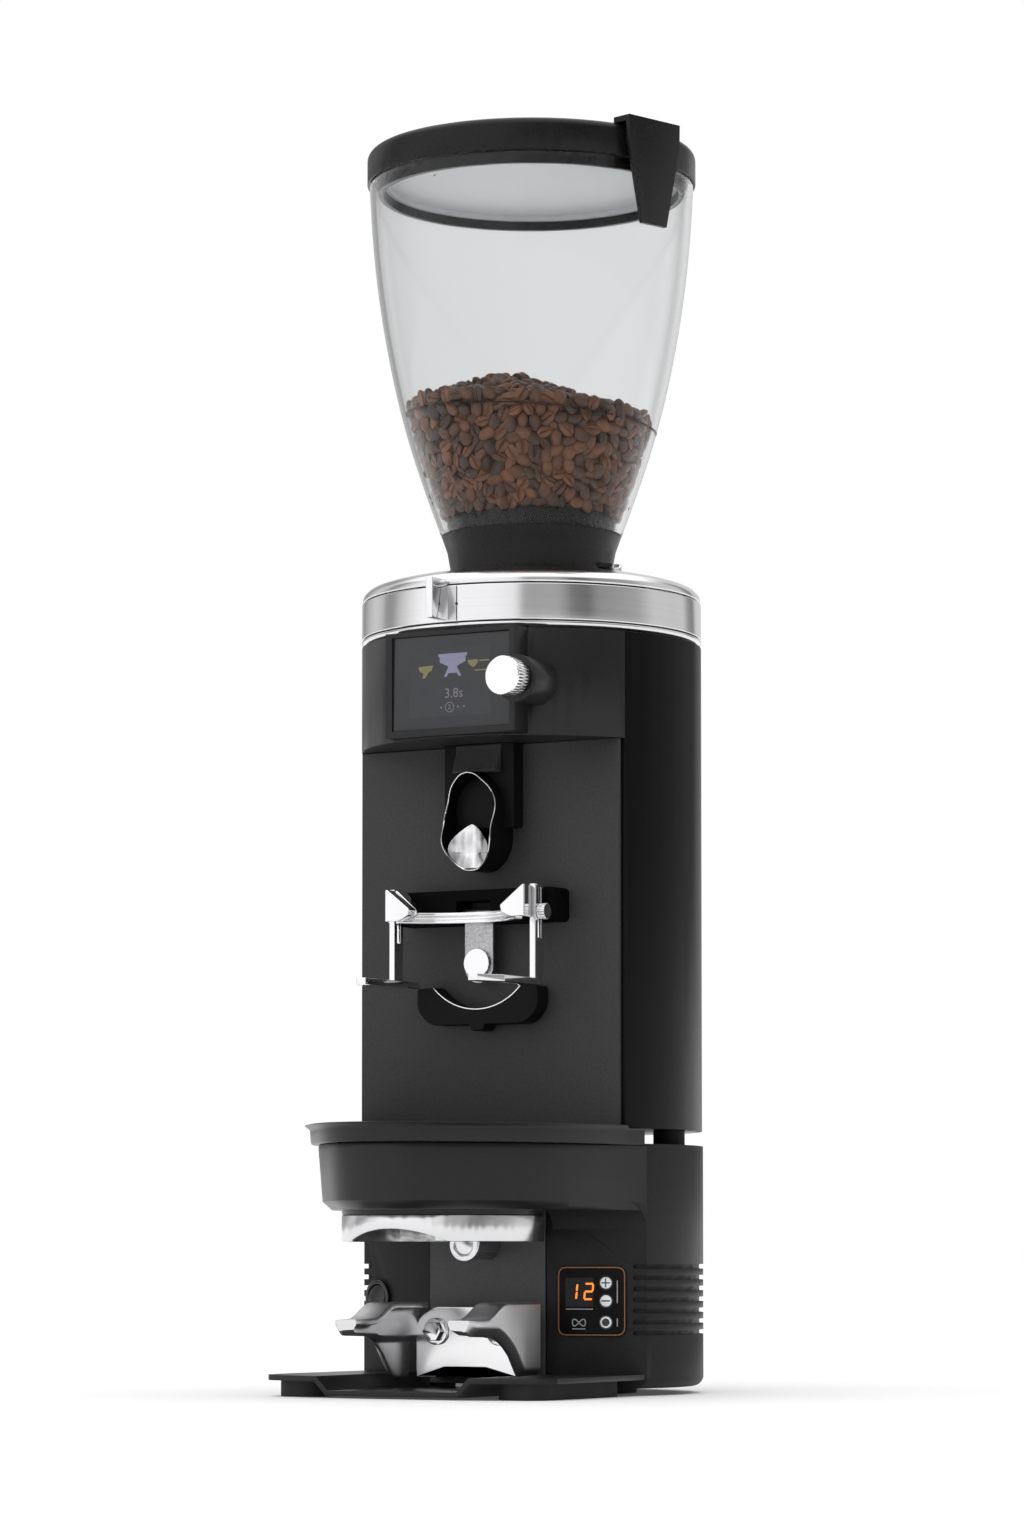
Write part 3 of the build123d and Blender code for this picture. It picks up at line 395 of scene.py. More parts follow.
def slab(outline, low, high, place):
    """A plate between two depths on a closed outline; place puts its (a, b, depth) in space."""
    outline = np.asarray(outline, float)
    n = len(outline)
    if area_twice(outline) < 0:
        outline = outline[::-1]
    flat = np.concatenate([np.c_[outline, np.full(n, low)], np.c_[outline, np.full(n, high)]])
    i = np.arange(n)
    sides = np.stack([i, (i + 1) % n, (i + 1) % n + n, i + n], 1).tolist()
    return place(flat), sides + [list(range(n - 1, -1, -1)), list(range(n, 2 * n))]


def joined(*parts):
    """Several (points, faces) as one."""
    points, faces, base = [], [], 0
    for p, f in parts:
        points.append(p)
        faces += [[k + base for k in face] for face in f]
        base += len(p)
    return np.concatenate(points), faces


def on_front(y):
    """Places (x, z, depth towards the operator) on a plane of constant y."""
    return lambda q: np.stack([q[:, 0], y - q[:, 2], q[:, 1]], 1)


FACET_START, BACK_RADIUS, FACET_END_Y = np.array([39.5, -49.0]), 98, -32.5


def facet_frame(side):
    """Origin, along and outward directions of the base's swept side facet, right (1) or left (-1).

    The facet runs straight from its front corner to where it meets the round back.
    """
    start = FACET_START
    end = np.array([sqrt(BACK_RADIUS ** 2 - FACET_END_Y ** 2), FACET_END_Y])
    along = (end - start) / np.linalg.norm(end - start)
    out = np.array([along[1], -along[0]])
    flip = np.array([side, 1])
    return start * flip, along * flip, out * flip


def on_facet(side, out):
    """Places (u, z, depth outward) on a side facet, out millimetres proud of it."""
    origin, along, normal = facet_frame(side)

    def place(q):
        """The facet's origin, plus u along it, plus the depth square to it."""
        xy = origin + q[:, :1] * along + (out + q[:, 2:]) * normal
        return np.c_[xy, q[:, 1]]
    return place


def circle(r, count=40, at=(0, 0)):
    """A closed outline of count points at radius r round a middle."""
    t = np.linspace(0, 2 * pi, count, endpoint=False)
    return np.stack([at[0] + r * np.cos(t), at[1] + r * np.sin(t)], 1)


def ring_slab(outer, inner, low, high, place):
    """A flat ring between two outlines with the same number of points."""
    n = len(outer)
    rows = np.concatenate([np.c_[outer, np.full(n, low)], np.c_[outer, np.full(n, high)],
                           np.c_[inner, np.full(n, high)], np.c_[inner, np.full(n, low)]])
    return place(rows), grid_faces(4, n, True, True).tolist()


# ---- hopper --------------------------------------------------------------------------
BOWL = [(52, 491.5), (58, 508), (69.5, 542), (82.2, 594), (91.7, 663.5), (93.6, 695)]
BOWL_LINE = spline(BOWL, 90)
BOWL_WALL = 3.0


def bowl():
    """The clear wall: the bowl's curve outside, the same curve 3 mm in, its two rims rounded over."""
    inner = BOWL_LINE[::-1] - [BOWL_WALL, 0]
    rim = np.array([[93.3, 695.35], [92.1, 695.6], [90.9, 695.35]])
    foot = np.array([[49.4, 491.2], [50.5, 491.0], [51.6, 491.2]])
    profile = np.concatenate([BOWL_LINE, rim, inner, foot])
    wall = turned("bowl_wall", profile, CLEAR, "hopper", "clear_bowl", 224)
    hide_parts("hopper_bowl")


BEAN_TURNS = np.radians([90, 50, 12, -22, -52, -76, -90, -104, -128, -158, 168, 130])


def bean_shape():
    """A bean: ellipse sections along its length, flattened below, with a crease down the flat side."""
    along = np.radians([-72, -44, -15, 15, 44, 72])
    x = 5.1 * np.sin(along)
    swell = np.cos(along)[:, None] ** 0.8
    side, up = np.cos(BEAN_TURNS), np.sin(BEAN_TURNS)
    height = np.where(up > 0, 3.1 * up, 1.5 * np.sign(up) * np.abs(up) ** 0.45)
    height = np.where(np.isclose(up, -1), -0.55, height)
    rings = np.stack([x[:, None] + 0 * side, 3.7 * swell * side, swell * height], -1).reshape(-1, 3)
    points = np.concatenate([rings, [[-5.25, 0, 0], [5.25, 0, 0]]])
    n = len(BEAN_TURNS)
    faces = grid_faces(6, n, False, True, True).tolist()
    j = np.arange(n)
    faces += np.stack([j, (j + 1) % n, np.full(n, 6 * n)], 1).tolist()
    faces += np.stack([5 * n + (j + 1) % n, 5 * n + j, np.full(n, 6 * n + 1)], 1).tolist()
    return points, faces


def heap_top(x, y):
    """Height of the heap of beans: a blunt cone, its peak a little to the left."""
    return 589.5 - 0.36 * np.sqrt((x + 13) ** 2 + (y + 7.5) ** 2 + 60)


def bowl_inside(z):
    """The radius inside the bowl at a height: its outer curve less the wall."""
    return np.interp(z, BOWL_LINE[:, 1], BOWL_LINE[:, 0]) - BOWL_WALL


def turns_to(axis, spin, tilt, rng):
    """Rotations whose third axis leans at random from the given one and whose first turns by spin."""
    lean = axis + tilt[:, None] * rng.normal(size=axis.shape)
    third = lean / np.linalg.norm(lean, axis=1)[:, None]
    aside = np.cross(third, np.where(np.abs(third[:, 2:]) < 0.9, [[0, 0, 1.0]], [[1.0, 0, 0]]))
    aside /= np.linalg.norm(aside, axis=1)[:, None]
    first = np.cos(spin)[:, None] * aside + np.sin(spin)[:, None] * np.cross(third, aside)
    return np.stack([first, np.cross(third, first), third], 2)


def beans():
    """Beans scattered in a skin under the bowl's wall and the heap's top, then pushed apart.

    Each pair nearer than a gap is moved apart by a share of what it lacks, many times over, and
    each bean is then brought back inside the wall and under the top. A dark bed of painted shade fills the
    middle.
    """
    rng = np.random.default_rng(11)
    count, skin, gap, clear, lowest = 1750, 12.0, 7.6, 3.6, 505
    z = rng.uniform(lowest, 588, 40000)
    turn, share = rng.uniform(0, 2 * pi, z.size), np.sqrt(rng.uniform(0, 1, z.size))
    r = (bowl_inside(z) - clear) * share
    p = np.stack([r * np.cos(turn), r * np.sin(turn), z], 1)
    under = heap_top(p[:, 0], p[:, 1]) - 3 - p[:, 2]
    fits = (under > 0) & ((bowl_inside(z) - clear - r < skin) | (under < skin))
    p = p[fits][:count]
    for _ in range(45):
        d = p[:, None] - p[None]
        far = np.sqrt((d ** 2).sum(-1)) + 10.0 * np.eye(len(p))
        push = np.clip(gap - far, 0, None) / far * 0.35
        p = p + (d * push[..., None]).sum(1)
        r = np.hypot(p[:, 0], p[:, 1])
        most = bowl_inside(p[:, 2]) - clear
        top = heap_top(p[:, 0], p[:, 1]) - 3
        inner = (most - r > skin) & (top - p[:, 2] > skin)
        out = np.where(inner, (most - skin) / np.maximum(r, 1), np.minimum(1, most / np.maximum(r, 1)))
        p[:, :2] *= out[:, None]
        p[:, 2] = np.clip(p[:, 2], lowest, heap_top(p[:, 0], p[:, 1]) - 3)
    r = np.hypot(p[:, 0], p[:, 1])
    by_wall = bowl_inside(p[:, 2]) - r < 7.5
    outward = np.c_[p[:, :2] / np.maximum(r, 1)[:, None], np.full(len(p), -0.12)]
    upward = np.tile([[0.15, 0.1, 1.0]], (len(p), 1))
    flat_side = np.where(rng.uniform(size=len(p)) < 0.62, 1, -1)[:, None]
    axis = np.where(by_wall[:, None], outward, upward) * flat_side
    tilt = np.where(by_wall, 0.22, 0.42)
    rotate = turns_to(axis, rng.uniform(0, 2 * pi, len(p)), tilt, rng)
    size = rng.uniform(0.86, 1.1, (len(p), 1, 1)) * rng.uniform(0.94, 1.06, (len(p), 1, 3))
    shape, faces = bean_shape()
    every = np.einsum("kij,kmj->kmi", rotate, shape[None] * size) + p[:, None]
    tint = rng.uniform(0, 1, len(p))
    rise = np.linspace(lowest, 600, 24)
    core_ring = np.concatenate([[(20, 492), (43, 493), (43, 503)],
                                np.c_[bowl_inside(rise) - 8, rise],
                                np.c_[np.linspace(72, 3, 16), np.full(16, 600)]])
    turn = np.linspace(0, 2 * pi, 96, endpoint=False)[:, None]
    x, y = core_ring[:, 0] * np.cos(turn), core_ring[:, 0] * np.sin(turn)
    bed = np.stack([x, y, np.minimum(core_ring[:, 1], heap_top(x, y) - 7)], -1)
    rows = len(core_ring)
    # the dark bed is painted shade under and between the beans
    shade_bed = piece("bean_shade_bed", bed, closed_turn(96, rows), BEAN_SHADE_PAINT, "hopper", "roast")
    for name, chosen in (("beans_at_wall", by_wall), ("beans_on_top", ~by_wall)):
        some = every[chosen]
        m = len(shape)
        all_faces = [[k + b * m for k in f] for b in range(len(some)) for f in faces]
        heap = piece(name, some, all_faces, ROAST, "hopper", "roast")
        shade = heap.data.attributes.new("roast_shade", "FLOAT", "POINT")
        shade.data.foreach_set("value", np.repeat(tint[chosen], m).astype(np.float32))
    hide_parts("coffee_beans")


# ---- grind head ----------------------------------------------------------------------
RING_RADIUS = 97.5
KNOB_X, KNOB_Z = 52, 395


def grind_head():
    """The turned rings and the domed cap, every corner broken so that it catches the light."""
    ring = rounded([(93.5, 430.5), (RING_RADIUS, 430.5), (RING_RADIUS, 451), (93.5, 451)], 0.7)
    band = turned("grind_band", ring, TURNED, "grind_ring", "satin_aluminium")
    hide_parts("adjusting_ring")
    turned("grind_web", [(48.2, 432), (53, 432), (53, 442), (94.5, 442), (94.5, 445), (48.2, 445)],
           CAST, "grind_ring", "satin_aluminium", 96)
    cap = [(30.2, 462), (30.2, 466), (46, 466), (47.2, 466), (67, 464.5), (75.9, 463.3), (87.4, 460.7),
           (93.2, 458.7), (96.6, 455.5), (97.3, 451.7), (94.3, 451.7), (93.2, 454.6), (86, 457.5),
           (75, 460), (66, 461.3)]
    dome = turned("domed_cap", rounded(cap, 1.6), TURNED, "burr_carrier", "satin_aluminium")
    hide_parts("top_cap")
    low = rounded([(92, 426.2), (95.6, 426.2), (RING_RADIUS, 428.4), (RING_RADIUS, 429.8), (92, 429.8)],
                  0.45)
    edge = turned("bevel_band", low, TURNED, "stand", "satin_aluminium")
    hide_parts("bevel_ring")
    seam_turn = radians(4.6)

    def at_seam(q):
        """Places (across, z, depth outward) on the ring at the seam's turn from the front."""
        r = 97.25 + q[:, 2]
        return np.stack([r * np.sin(seam_turn) + q[:, 0], -r * np.cos(seam_turn), q[:, 1]], 1)

    def on_ring(q):
        """Places (x, z, depth outward) on the ring: y falls on its circle."""
        y = -np.sqrt(RING_RADIUS ** 2 - q[:, 0] ** 2) + 0.4 - q[:, 2]
        return np.stack([q[:, 0], y, q[:, 1]], 1)
    line = rounded([(-0.25, 431), (0.25, 431), (0.25, 450.6), (-0.25, 450.6)], 0.1)
    piece("ring_seam", *slab(line, 0, 0.35, at_seam), GLOSS_BLACK, "grind_ring", "black_moulding")
    pin = slab(circle(0.8, 16, (7.8, 440.5)), 0, 0.7, on_ring)
    piece("ring_pin", *pin, GLOSS_BLACK, "grind_ring", "black_moulding")


def knob():
    """A ribbed barrel: radius 11 mm with 36 flutes that run out before a polished, dished face."""
    turn = np.linspace(0, 2 * pi, 384, endpoint=False)[:, None]
    along = [(0, -110.0), (10.0, -110.0), (10.6, -110.6), (11, -111.4), (11, -121.2), (10.9, -122.2),
             (10.5, -122.9), (9.9, -123.2), (9.2, -123.15), (0.5, -123.1)]
    radius = np.array([a for a, _ in along])
    y = np.array([b for _, b in along]) + 0 * turn
    fluted = np.array([0, 0, 0.3, 1, 1, 0.2, 0, 0, 0, 0])
    r = radius - 0.8 * fluted * (0.5 + 0.5 * np.cos(36 * turn)) ** 2
    points = np.stack([KNOB_X + r * np.cos(turn), y, KNOB_Z + r * np.sin(turn)], -1)
    cap = piece("ribbed_knob", points, closed_turn(384, len(along)), KNOB_METAL, "knob",
                "polished_steel", weld=0.001, outward=True)
    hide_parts("control_knob")


# ---- display -------------------------------------------------------------------------
SCREEN_Y = -98.82


def mirrored(half, centre, top):
    """A closed outline from its right half, given as offsets from the middle and from its top."""
    half = np.asarray(half, float)
    left = half[::-1] * [-1, 1]
    return np.concatenate([half, left]) + [centre, top]


def words(name, text, size, place, mat, body, slot):
    """Numerals cut as a thin plate, centred where place puts (a, b, depth)."""
    curve = bpy.data.curves.new(name, "FONT")
    curve.body, curve.size, curve.extrude = text, size, 0.05
    curve.align_x = curve.align_y = "CENTER"
    curve.resolution_u = 3
    made = bpy.data.objects.new(name, curve)
    bpy.context.scene.collection.objects.link(made)
    bpy.context.view_layer.update()
    mesh = bpy.data.meshes.new_from_object(made)
    points = np.zeros(len(mesh.vertices) * 3)
    mesh.vertices.foreach_get("co", points)
    faces = [list(f.vertices) for f in mesh.polygons]
    bpy.data.objects.remove(made)
    piece(name, place(points.reshape(-1, 3)), faces, mat, body, slot,
          weld=0.001, smooth=False, outward=True)


def display():
    """What shows on the glass: a darker panel, three portafilter signs, a time and a count."""
    face = on_front(SCREEN_Y)
    lcd = slab(rounded([(-22, 377.5), (31, 377.5), (31, 416), (-22, 416)], 0.6), -0.1, 0.06, face)
    piece("screen_panel", *lcd, LCD, "stand", "dark_glass")
    cup = [(9.3, 0), (9.3, -1.5), (8.4, -1.8), (8.4, -4.7), (3.0, -7.1), (3.0, -7.9), (5.6, -12.9),
           (3.9, -12.9), (2.7, -11.0)]
    big = slab(mirrored(cup, 6.3, 412.6), 0, 0.12, face)
    piece("sign_portafilter", *big, SIGN_LILAC, "stand", "dark_glass")
    left = [(-16, 406.2), (-6.4, 406.5), (-7.2, 403.7), (-9.2, 402.9), (-11.6, 399.6), (-13.6, 399.6),
            (-12.6, 402.2), (-15.2, 403.6)]
    right = [(16, 408.2), (22.6, 408.3), (22.6, 406.6), (20.4, 404.2), (18.9, 404.2), (16.6, 406.2)]
    bars = [[(23.2, 407.9), (30, 407.9), (30, 407.1), (23.2, 407.1)],
            [(20.4, 402.6), (30, 402.6), (30, 401.9), (20.4, 401.9)]]
    olive = joined(*[slab(o, 0, 0.12, face) for o in [left, right] + bars])
    piece("sign_side_cups", *olive, SIGN_OLIVE, "stand", "dark_glass")

    def centred(x, z):
        """Places words on the glass with their middle at (x, z)."""
        return lambda q: on_front(SCREEN_Y - 0.08)(q + [x, z, 0])
    words("shown_time", "3.8s", 7.6, centred(7.0, 390.2), SIGN_GREY, "stand", "dark_glass")
    words("shown_count", "2", 4.0, centred(4.3, 382.6), SIGN_GREY, "stand", "dark_glass")
    dots = [slab(circle(0.55, 12, (x, 382.6)), 0, 0.12, face) for x in (-1.1, 9.7, 13.7)]
    hoop = ring_slab(*(circle(r, 40, (4.3, 382.6)) for r in (2.9, 2.5)), 0, 0.12, face)
    piece("count_ring", *joined(hoop, *dots), SIGN_GREY, "stand", "dark_glass")


# ---- base's panel and switch ---------------------------------------------------------
PANEL_MIDDLE = (24.5, 52.5)
BUTTON_SPOTS = {"plus": (8.2, 10.2), "minus": (8.2, 0.2), "set": (8.2, -11.7)}
SEGMENTS = {"1": "bc", "2": "abged"}
LOOP_SPOT = (-7.2, -11.9)
LEAN = 0.09


def panel_marks():
    """The printed frame, the lit figures, the key signs and plain bars where small print would be."""
    face = on_facet(1, 1.62)

    def near(outline):
        """An outline drawn round the panel's middle, moved to its place on the facet."""
        return np.asarray(outline, float) + PANEL_MIDDLE

    def rect(cx, cz, w, h, r=0.2):
        """A rounded rectangle w by h with its middle at (cx, cz)."""
        corners = [(cx - w / 2, cz - h / 2), (cx + w / 2, cz - h / 2),
                   (cx + w / 2, cz + h / 2), (cx - w / 2, cz + h / 2)]
        return near(rounded(corners, r))
    frame_line = ring_slab(rect(0, 0, 38.2, 38.2, 4.8), rect(0, 0, 36.9, 36.9, 4.2), -0.05, 0.06, face)
    piece("panel_outline", *frame_line, ORANGE_PRINT, "stand", "dark_glass")
    window = slab(rect(-6.9, 5, 16, 16, 0.4), -0.05, 0.05, face)
    piece("figure_window", *window, MOULDED, "stand", "dark_glass")
    lit = []
    w, h, t, cz = 4.4, 8.6, 1.05, 5.4
    for digit, cx in (("1", -10.6), ("2", -1.6)):
        spots = {"a": (0, h / 2, w, t), "g": (0, 0, w, t), "d": (0, -h / 2, w, t),
                 "b": (w / 2, h / 4, t, h / 2 - 0.5), "c": (w / 2, -h / 4, t, h / 2 - 0.5),
                 "f": (-w / 2, h / 4, t, h / 2 - 0.5), "e": (-w / 2, -h / 4, t, h / 2 - 0.5)}
        for s in SEGMENTS[digit]:
            x, z, sw, sh = spots[s]
            outline = rect(cx + x, cz + z, sw, sh, 0.5)
            outline[:, 0] += LEAN * (outline[:, 1] - PANEL_MIDDLE[1] - cz)
            lit.append(slab(outline, 0, 0.12, face))
    piece("lit_figures", *joined(*lit), LED, "stand", "dark_glass")
    t = np.linspace(0, 2 * pi, 72, endpoint=False)
    loop = np.stack([3.7 * np.cos(t), 1.9 * np.sin(2 * t)], 1)
    step = np.roll(loop, -1, 0) - np.roll(loop, 1, 0)
    side = np.stack([-step[:, 1], step[:, 0]], 1) / np.linalg.norm(step, axis=1)[:, None] * 0.28
    sign = ring_slab(near(loop + side + LOOP_SPOT), near(loop - side + LOOP_SPOT), 0, 0.08, face)
    bars = [slab(rect(*bar, 0.1), 0, 0.05, face)
            for bar in ((-6.9, -4.4, 15.5, 0.45), (-7.2, -15.4, 7.5, 0.5), (14.6, 5.2, 0.55, 12.5),
                        (14.6, -11.7, 0.55, 4.4))]
    piece("printed_signs", *joined(sign, *bars), PRINT_GREY, "stand", "dark_glass", outward=True)
    caps = on_facet(1, 2.42)
    plus, minus = BUTTON_SPOTS["plus"], BUTTON_SPOTS["minus"]
    cross = [slab(rect(*plus, 5.0, 0.7), 0, 0.06, caps), slab(rect(*plus, 0.7, 5.0), 0, 0.07, caps)]
    piece("plus_sign", *joined(*cross), GLOSS_BLACK, "plus_key", "black_moulding")
    dash = slab(rect(*minus, 5.0, 0.8), 0, 0.06, caps)
    piece("minus_sign", *dash, GLOSS_BLACK, "minus_key", "black_moulding")
    hub = slab(near(circle(2.2, 40, BUTTON_SPOTS["set"])), 0, 0.06, caps)
    piece("set_sign", *hub, GLOSS_BLACK, "set_key", "black_moulding")
    halo = [ring_slab(*(near(circle(r, 48, spot)) for r in (3.9, 3.3)), 0, 0.05, face)
            for spot in BUTTON_SPOTS.values()]
    piece("key_halos", *joined(*halo), GLOSS_BLACK, "stand", "dark_glass")


def broken_edges(node, width, mat, slot, body):
    """A welded copy of a CAD node with its sharp edges broken, standing for that node."""
    source = NODES[node]
    mesh = source.data.copy()
    mesh.name = node + "_skin"
    work = bmesh.new()
    work.from_mesh(mesh)
    bmesh.ops.remove_doubles(work, verts=work.verts, dist=2e-6)
    bmesh.ops.dissolve_limit(work, angle_limit=radians(0.6), verts=work.verts, edges=work.edges)
    work.to_mesh(mesh)
    work.free()
    mesh.materials.clear()
    mesh.materials.append(mat)
    mesh.polygons.foreach_set("use_smooth", np.ones(len(mesh.polygons), bool))
    obj = bpy.data.objects.new(node + "_skin", mesh)
    bpy.context.scene.collection.objects.link(obj)
    edge = obj.modifiers.new("edge", "BEVEL")
    edge.width, edge.segments, edge.limit_method = width * MM, 2, "ANGLE"
    edge.angle_limit, edge.harden_normals = radians(28), True
    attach(obj, body)
    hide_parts(node)


# ---- tray and hood -------------------------------------------------------------------
TRAY_HALF = np.array([(0, -184), (25.6, -176.4), (45, -158.5), (75.4, -115), (88.6, -61),
                      (92.453, -32.5)])
INSET_SHARE = np.array([1, 1, 1, 0.9, 0.45, 0])
TRAY_FRONT, TRAY_REAR, TRAY_REAR_Y = 161, 24, -34.5
PISTON_Y = -105.0
COLLAR_Y = -98.5
MIDDLE = np.array([0.0, -80.0])


def tray_line(inset, rear_y=-32.5):
    """The tray's closed plan: a smooth curve through its corners, then a straight rear edge.

    Each corner is drawn in by its share of the inset, square to the line through its neighbours.
    """
    before = np.concatenate([[TRAY_HALF[1] * [-1, 1]], TRAY_HALF[:-1]])
    after = np.concatenate([TRAY_HALF[1:], TRAY_HALF[-1:]])
    run = after - before
    step = inset * INSET_SHARE / np.linalg.norm(run, axis=1)
    half = TRAY_HALF + np.stack([-run[:, 1], run[:, 0]], 1) * step[:, None]
    half[-1, 1] = rear_y
    front = spline(np.concatenate([half[:0:-1] * [-1, 1], half]), TRAY_FRONT)
    back = np.linspace(front[-1], front[0], TRAY_REAR + 2)[1:-1]
    return np.concatenate([front, back])


def stack(name, rows, mat, body, slot):
    """Closed outlines of equal length joined one above another, the first and last closed over."""
    rows = [np.asarray(r, float) for r in rows]
    n = len(rows[0])
    ends = [list(range(n))[::-1], list(range((len(rows) - 1) * n, len(rows) * n))]
    faces = grid_faces(len(rows), n, False, True).tolist() + ends
    return piece(name, np.concatenate(rows), faces, mat, body, slot, outward=True)


def flat(line, z):
    """A plan outline laid at a height, or with a height for each point."""
    return np.c_[line, np.broadcast_to(z, len(line))]


def hood():
    """The hood: its wall leans in downwards to a crisp edge, then a chamfer runs in to a flat floor.

    The floor's rings are drawn along spokes from the piston's axis: first round the collar, a
    little lower and stopped at the wall, then up into the piston's bore.
    """
    rows = [flat(MIDDLE + (tray_line(8) - MIDDLE) * 0.4, 138.9)]
    for inset, z in ((6.5, 138.9), (5.4, 138.8), (5.0, 138.2), (5.0, 136), (6.2, 122), (7.4, 107.7),
                     (12.8, 103.1), (13.2, 103.0)):
        rows.append(flat(tray_line(inset), z))
    hub = np.array([0, PISTON_Y])
    spoke = tray_line(13) - hub
    spoke /= np.linalg.norm(spoke, axis=1)[:, None]
    for r, z in ((57, 103), (56, 102.8), (55.6, 100.3), (55.2, 100.1)):
        ring = np.array([0, COLLAR_Y]) + r * spoke
        rows.append(flat(np.c_[ring[:, 0], np.minimum(ring[:, 1], -49.6)], z))
    for r, z in ((30.6, 99.9), (30, 100.4), (30, 106)):
        rows.append(flat(hub + r * spoke, z))
    made = stack("hood_shell", rows, POWDER_SATIN, "stand", "black_shell")
    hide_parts("tamper_hood")


COVE, COVE_TOP = 15.0, 107.4


def hood_coves():
    """A quarter-round cove where each end of the hood comes down into the column's side facet."""
    wall = tray_line(7.4)[:TRAY_FRONT][::-1]
    gone = np.concatenate([[0], np.cumsum(np.linalg.norm(np.diff(wall, axis=0), axis=1))])
    bend = np.radians(np.linspace(90, 180, 14))
    arc = np.stack([COVE + COVE * np.cos(bend), COVE_TOP - COVE + COVE * np.sin(bend)], 1)
    outline = np.concatenate([arc, [(-1.0, COVE_TOP - COVE), (-1.0, 108.0), (COVE, 108.0)]])
    along = facet_frame(1)[1]
    for side, name in ((-1, "left_cove"), (1, "right_cove")):
        def place(q):
            """Runs the first number along the hood's edge from its rear end, the third along the facet."""
            x = np.interp(q[:, 0], gone, wall[:, 0]) - q[:, 2] * along[0]
            y = np.interp(q[:, 0], gone, wall[:, 1]) - q[:, 2] * along[1]
            return np.stack([side * x, y, q[:, 1]], 1)
        cove = slab(outline, 0.05, 53.5, place)
        piece(name, *cove, BASE_BLACK, "stand", "black_shell", outward=True)


def tray():
    """The shallow tray: a flat floor, an upright band and a thin lip turned outwards."""
    rows = []
    for shrink, inset, z in ((0.3, 3.4, 141.3), (1, 5.4, 141.3), (1, 4.0, 141.9), (1, 3.4, 143),
                             (1, 2.9, 147.2), (1, 1.4, 148.9), (1, -2.2, 150.0), (1, -3.0, 149.8),
                             (1, -2.9, 149.3), (1, -0.9, 148.0), (1, -0.05, 147.0), (1, 0, 146.4),
                             (1, 0.5, 140.4), (1, 0.9, 139.5), (1, 1.6, 139.2), (0.3, 3.4, 139.2)):
        line = tray_line(inset, TRAY_REAR_Y)
        behind = line[:, 1] > -50.6
        level = np.where(behind, np.minimum(z, 147.6), z)
        if inset < 0:
            line = np.where(behind[:, None], tray_line(0.3, TRAY_REAR_Y), line)
        rows.append(flat(MIDDLE + (line - MIDDLE) * shrink, level))
    made = stack("grounds_tray", rows, POWDER_SATIN, "tray", "black_moulding")
    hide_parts("catch_tray")


# ---- cradle --------------------------------------------------------------------------
PRONG_STATIONS = np.array([-69.5, -74, -80, -84, -86, -88, -90, -93, -96, -99, -102, -105, -108, -111,
                           -114, -118, -122, -124, -126, -130, -134, -137.5, -139.6, -141, -141.8])
PRONG_TOP = [(69, 52), (104, 52), (108, 51), (113, 48.7), (119, 45.2), (124, 43.4), (130, 43.0),
             (142, 42.8)]
PRONG_LOW = [(69, 9.7), (85, 9.7), (88, 12.2), (96, 22.5), (102, 27.2), (107.7, 30.8), (114, 33.2),
             (138, 33.8), (142, 35.6)]


def cradle():
    """The lower fork: each prong is one section carried forwards, a rail over a rising web.

    The rail has a lip inside. The section's top and foot follow two broken lines, and it draws
    in by a cube law at the nose. A bridge with cut corners joins the prongs at the wall.
    """
    y = PRONG_STATIONS
    top, low = (np.interp(-y, *zip(*line)) for line in (PRONG_TOP, PRONG_LOW))
    nose = np.clip((-y - 134) / 7.8, 0, 1) ** 3
    for side, name in ((-1, "left_prong"), (1, "right_prong")):
        rings = []
        for at_y, t, b, n in zip(y, top, low, nose):
            inner, outer, web = 26.8 + 2.5 * n, 45.6 - 3.0 * n, 33.0 - 2.5 * n
            section = [(41.4 - n, b + n), (outer, max(b + 5, 15) + n), (outer, t - 0.2), (inner, t),
                       (inner, t - 3.3 + n), (web - 1.2, t - 3.6 + n), (web, t - 5.4 + n),
                       (web + 0.2, max(b + 0.8, 33) + n), (39.5 - n, max(b + 0.4, 30) + n),
                       (39.8 - n, b + n)]
            ring = rounded(section, [0.7, 1.6, 1.8, 1.0, 0.9, 1.6, 1.6, 1.2, 1.2, 0.7], 5)
            rings.append(np.c_[side * ring[:, 0], np.full(len(ring), at_y), ring[:, 1]])
        stack(name, rings, CAST_SATIN, "cradle", "polished_steel")
    outline = [(-34, 9.7), (-20.5, 9.7), (-16.8, 15.3), (12.8, 15.3), (17, 9.7), (34, 9.7), (34, 30),
               (34, 42), (24, 49.5), (-22, 49.5), (-34, 42), (-34, 30)]
    corners = [1, 1.5, 2, 2, 1.5, 1, 2, 6, 5, 5, 6, 2]
    block = slab(rounded(outline, corners, 6), 0, 21.2, on_front(-49.8))
    made = piece("cradle_block", *block, CAST_BRIGHT, "cradle", "polished_steel", bevel=1.4)
    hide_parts("portafilter_cradle")


# ---- spout ---------------------------------------------------------------------------
SPOUT_RIM = np.array([(0, -72.6, 348.6), (4.6, -72.4, 347.4), (8.4, -71.6, 344.4), (12.2, -69.8, 340.2),
                      (15.1, -68.0, 332), (15.6, -70.2, 324.8), (15.2, -72.8, 318.6),
                      (15.5, -74.4, 311.4), (13.1, -72.3, 303.3), (8.1, -69.3, 297.3),
                      (4.2, -68.2, 295.0), (0, -67.9, 294.4)])


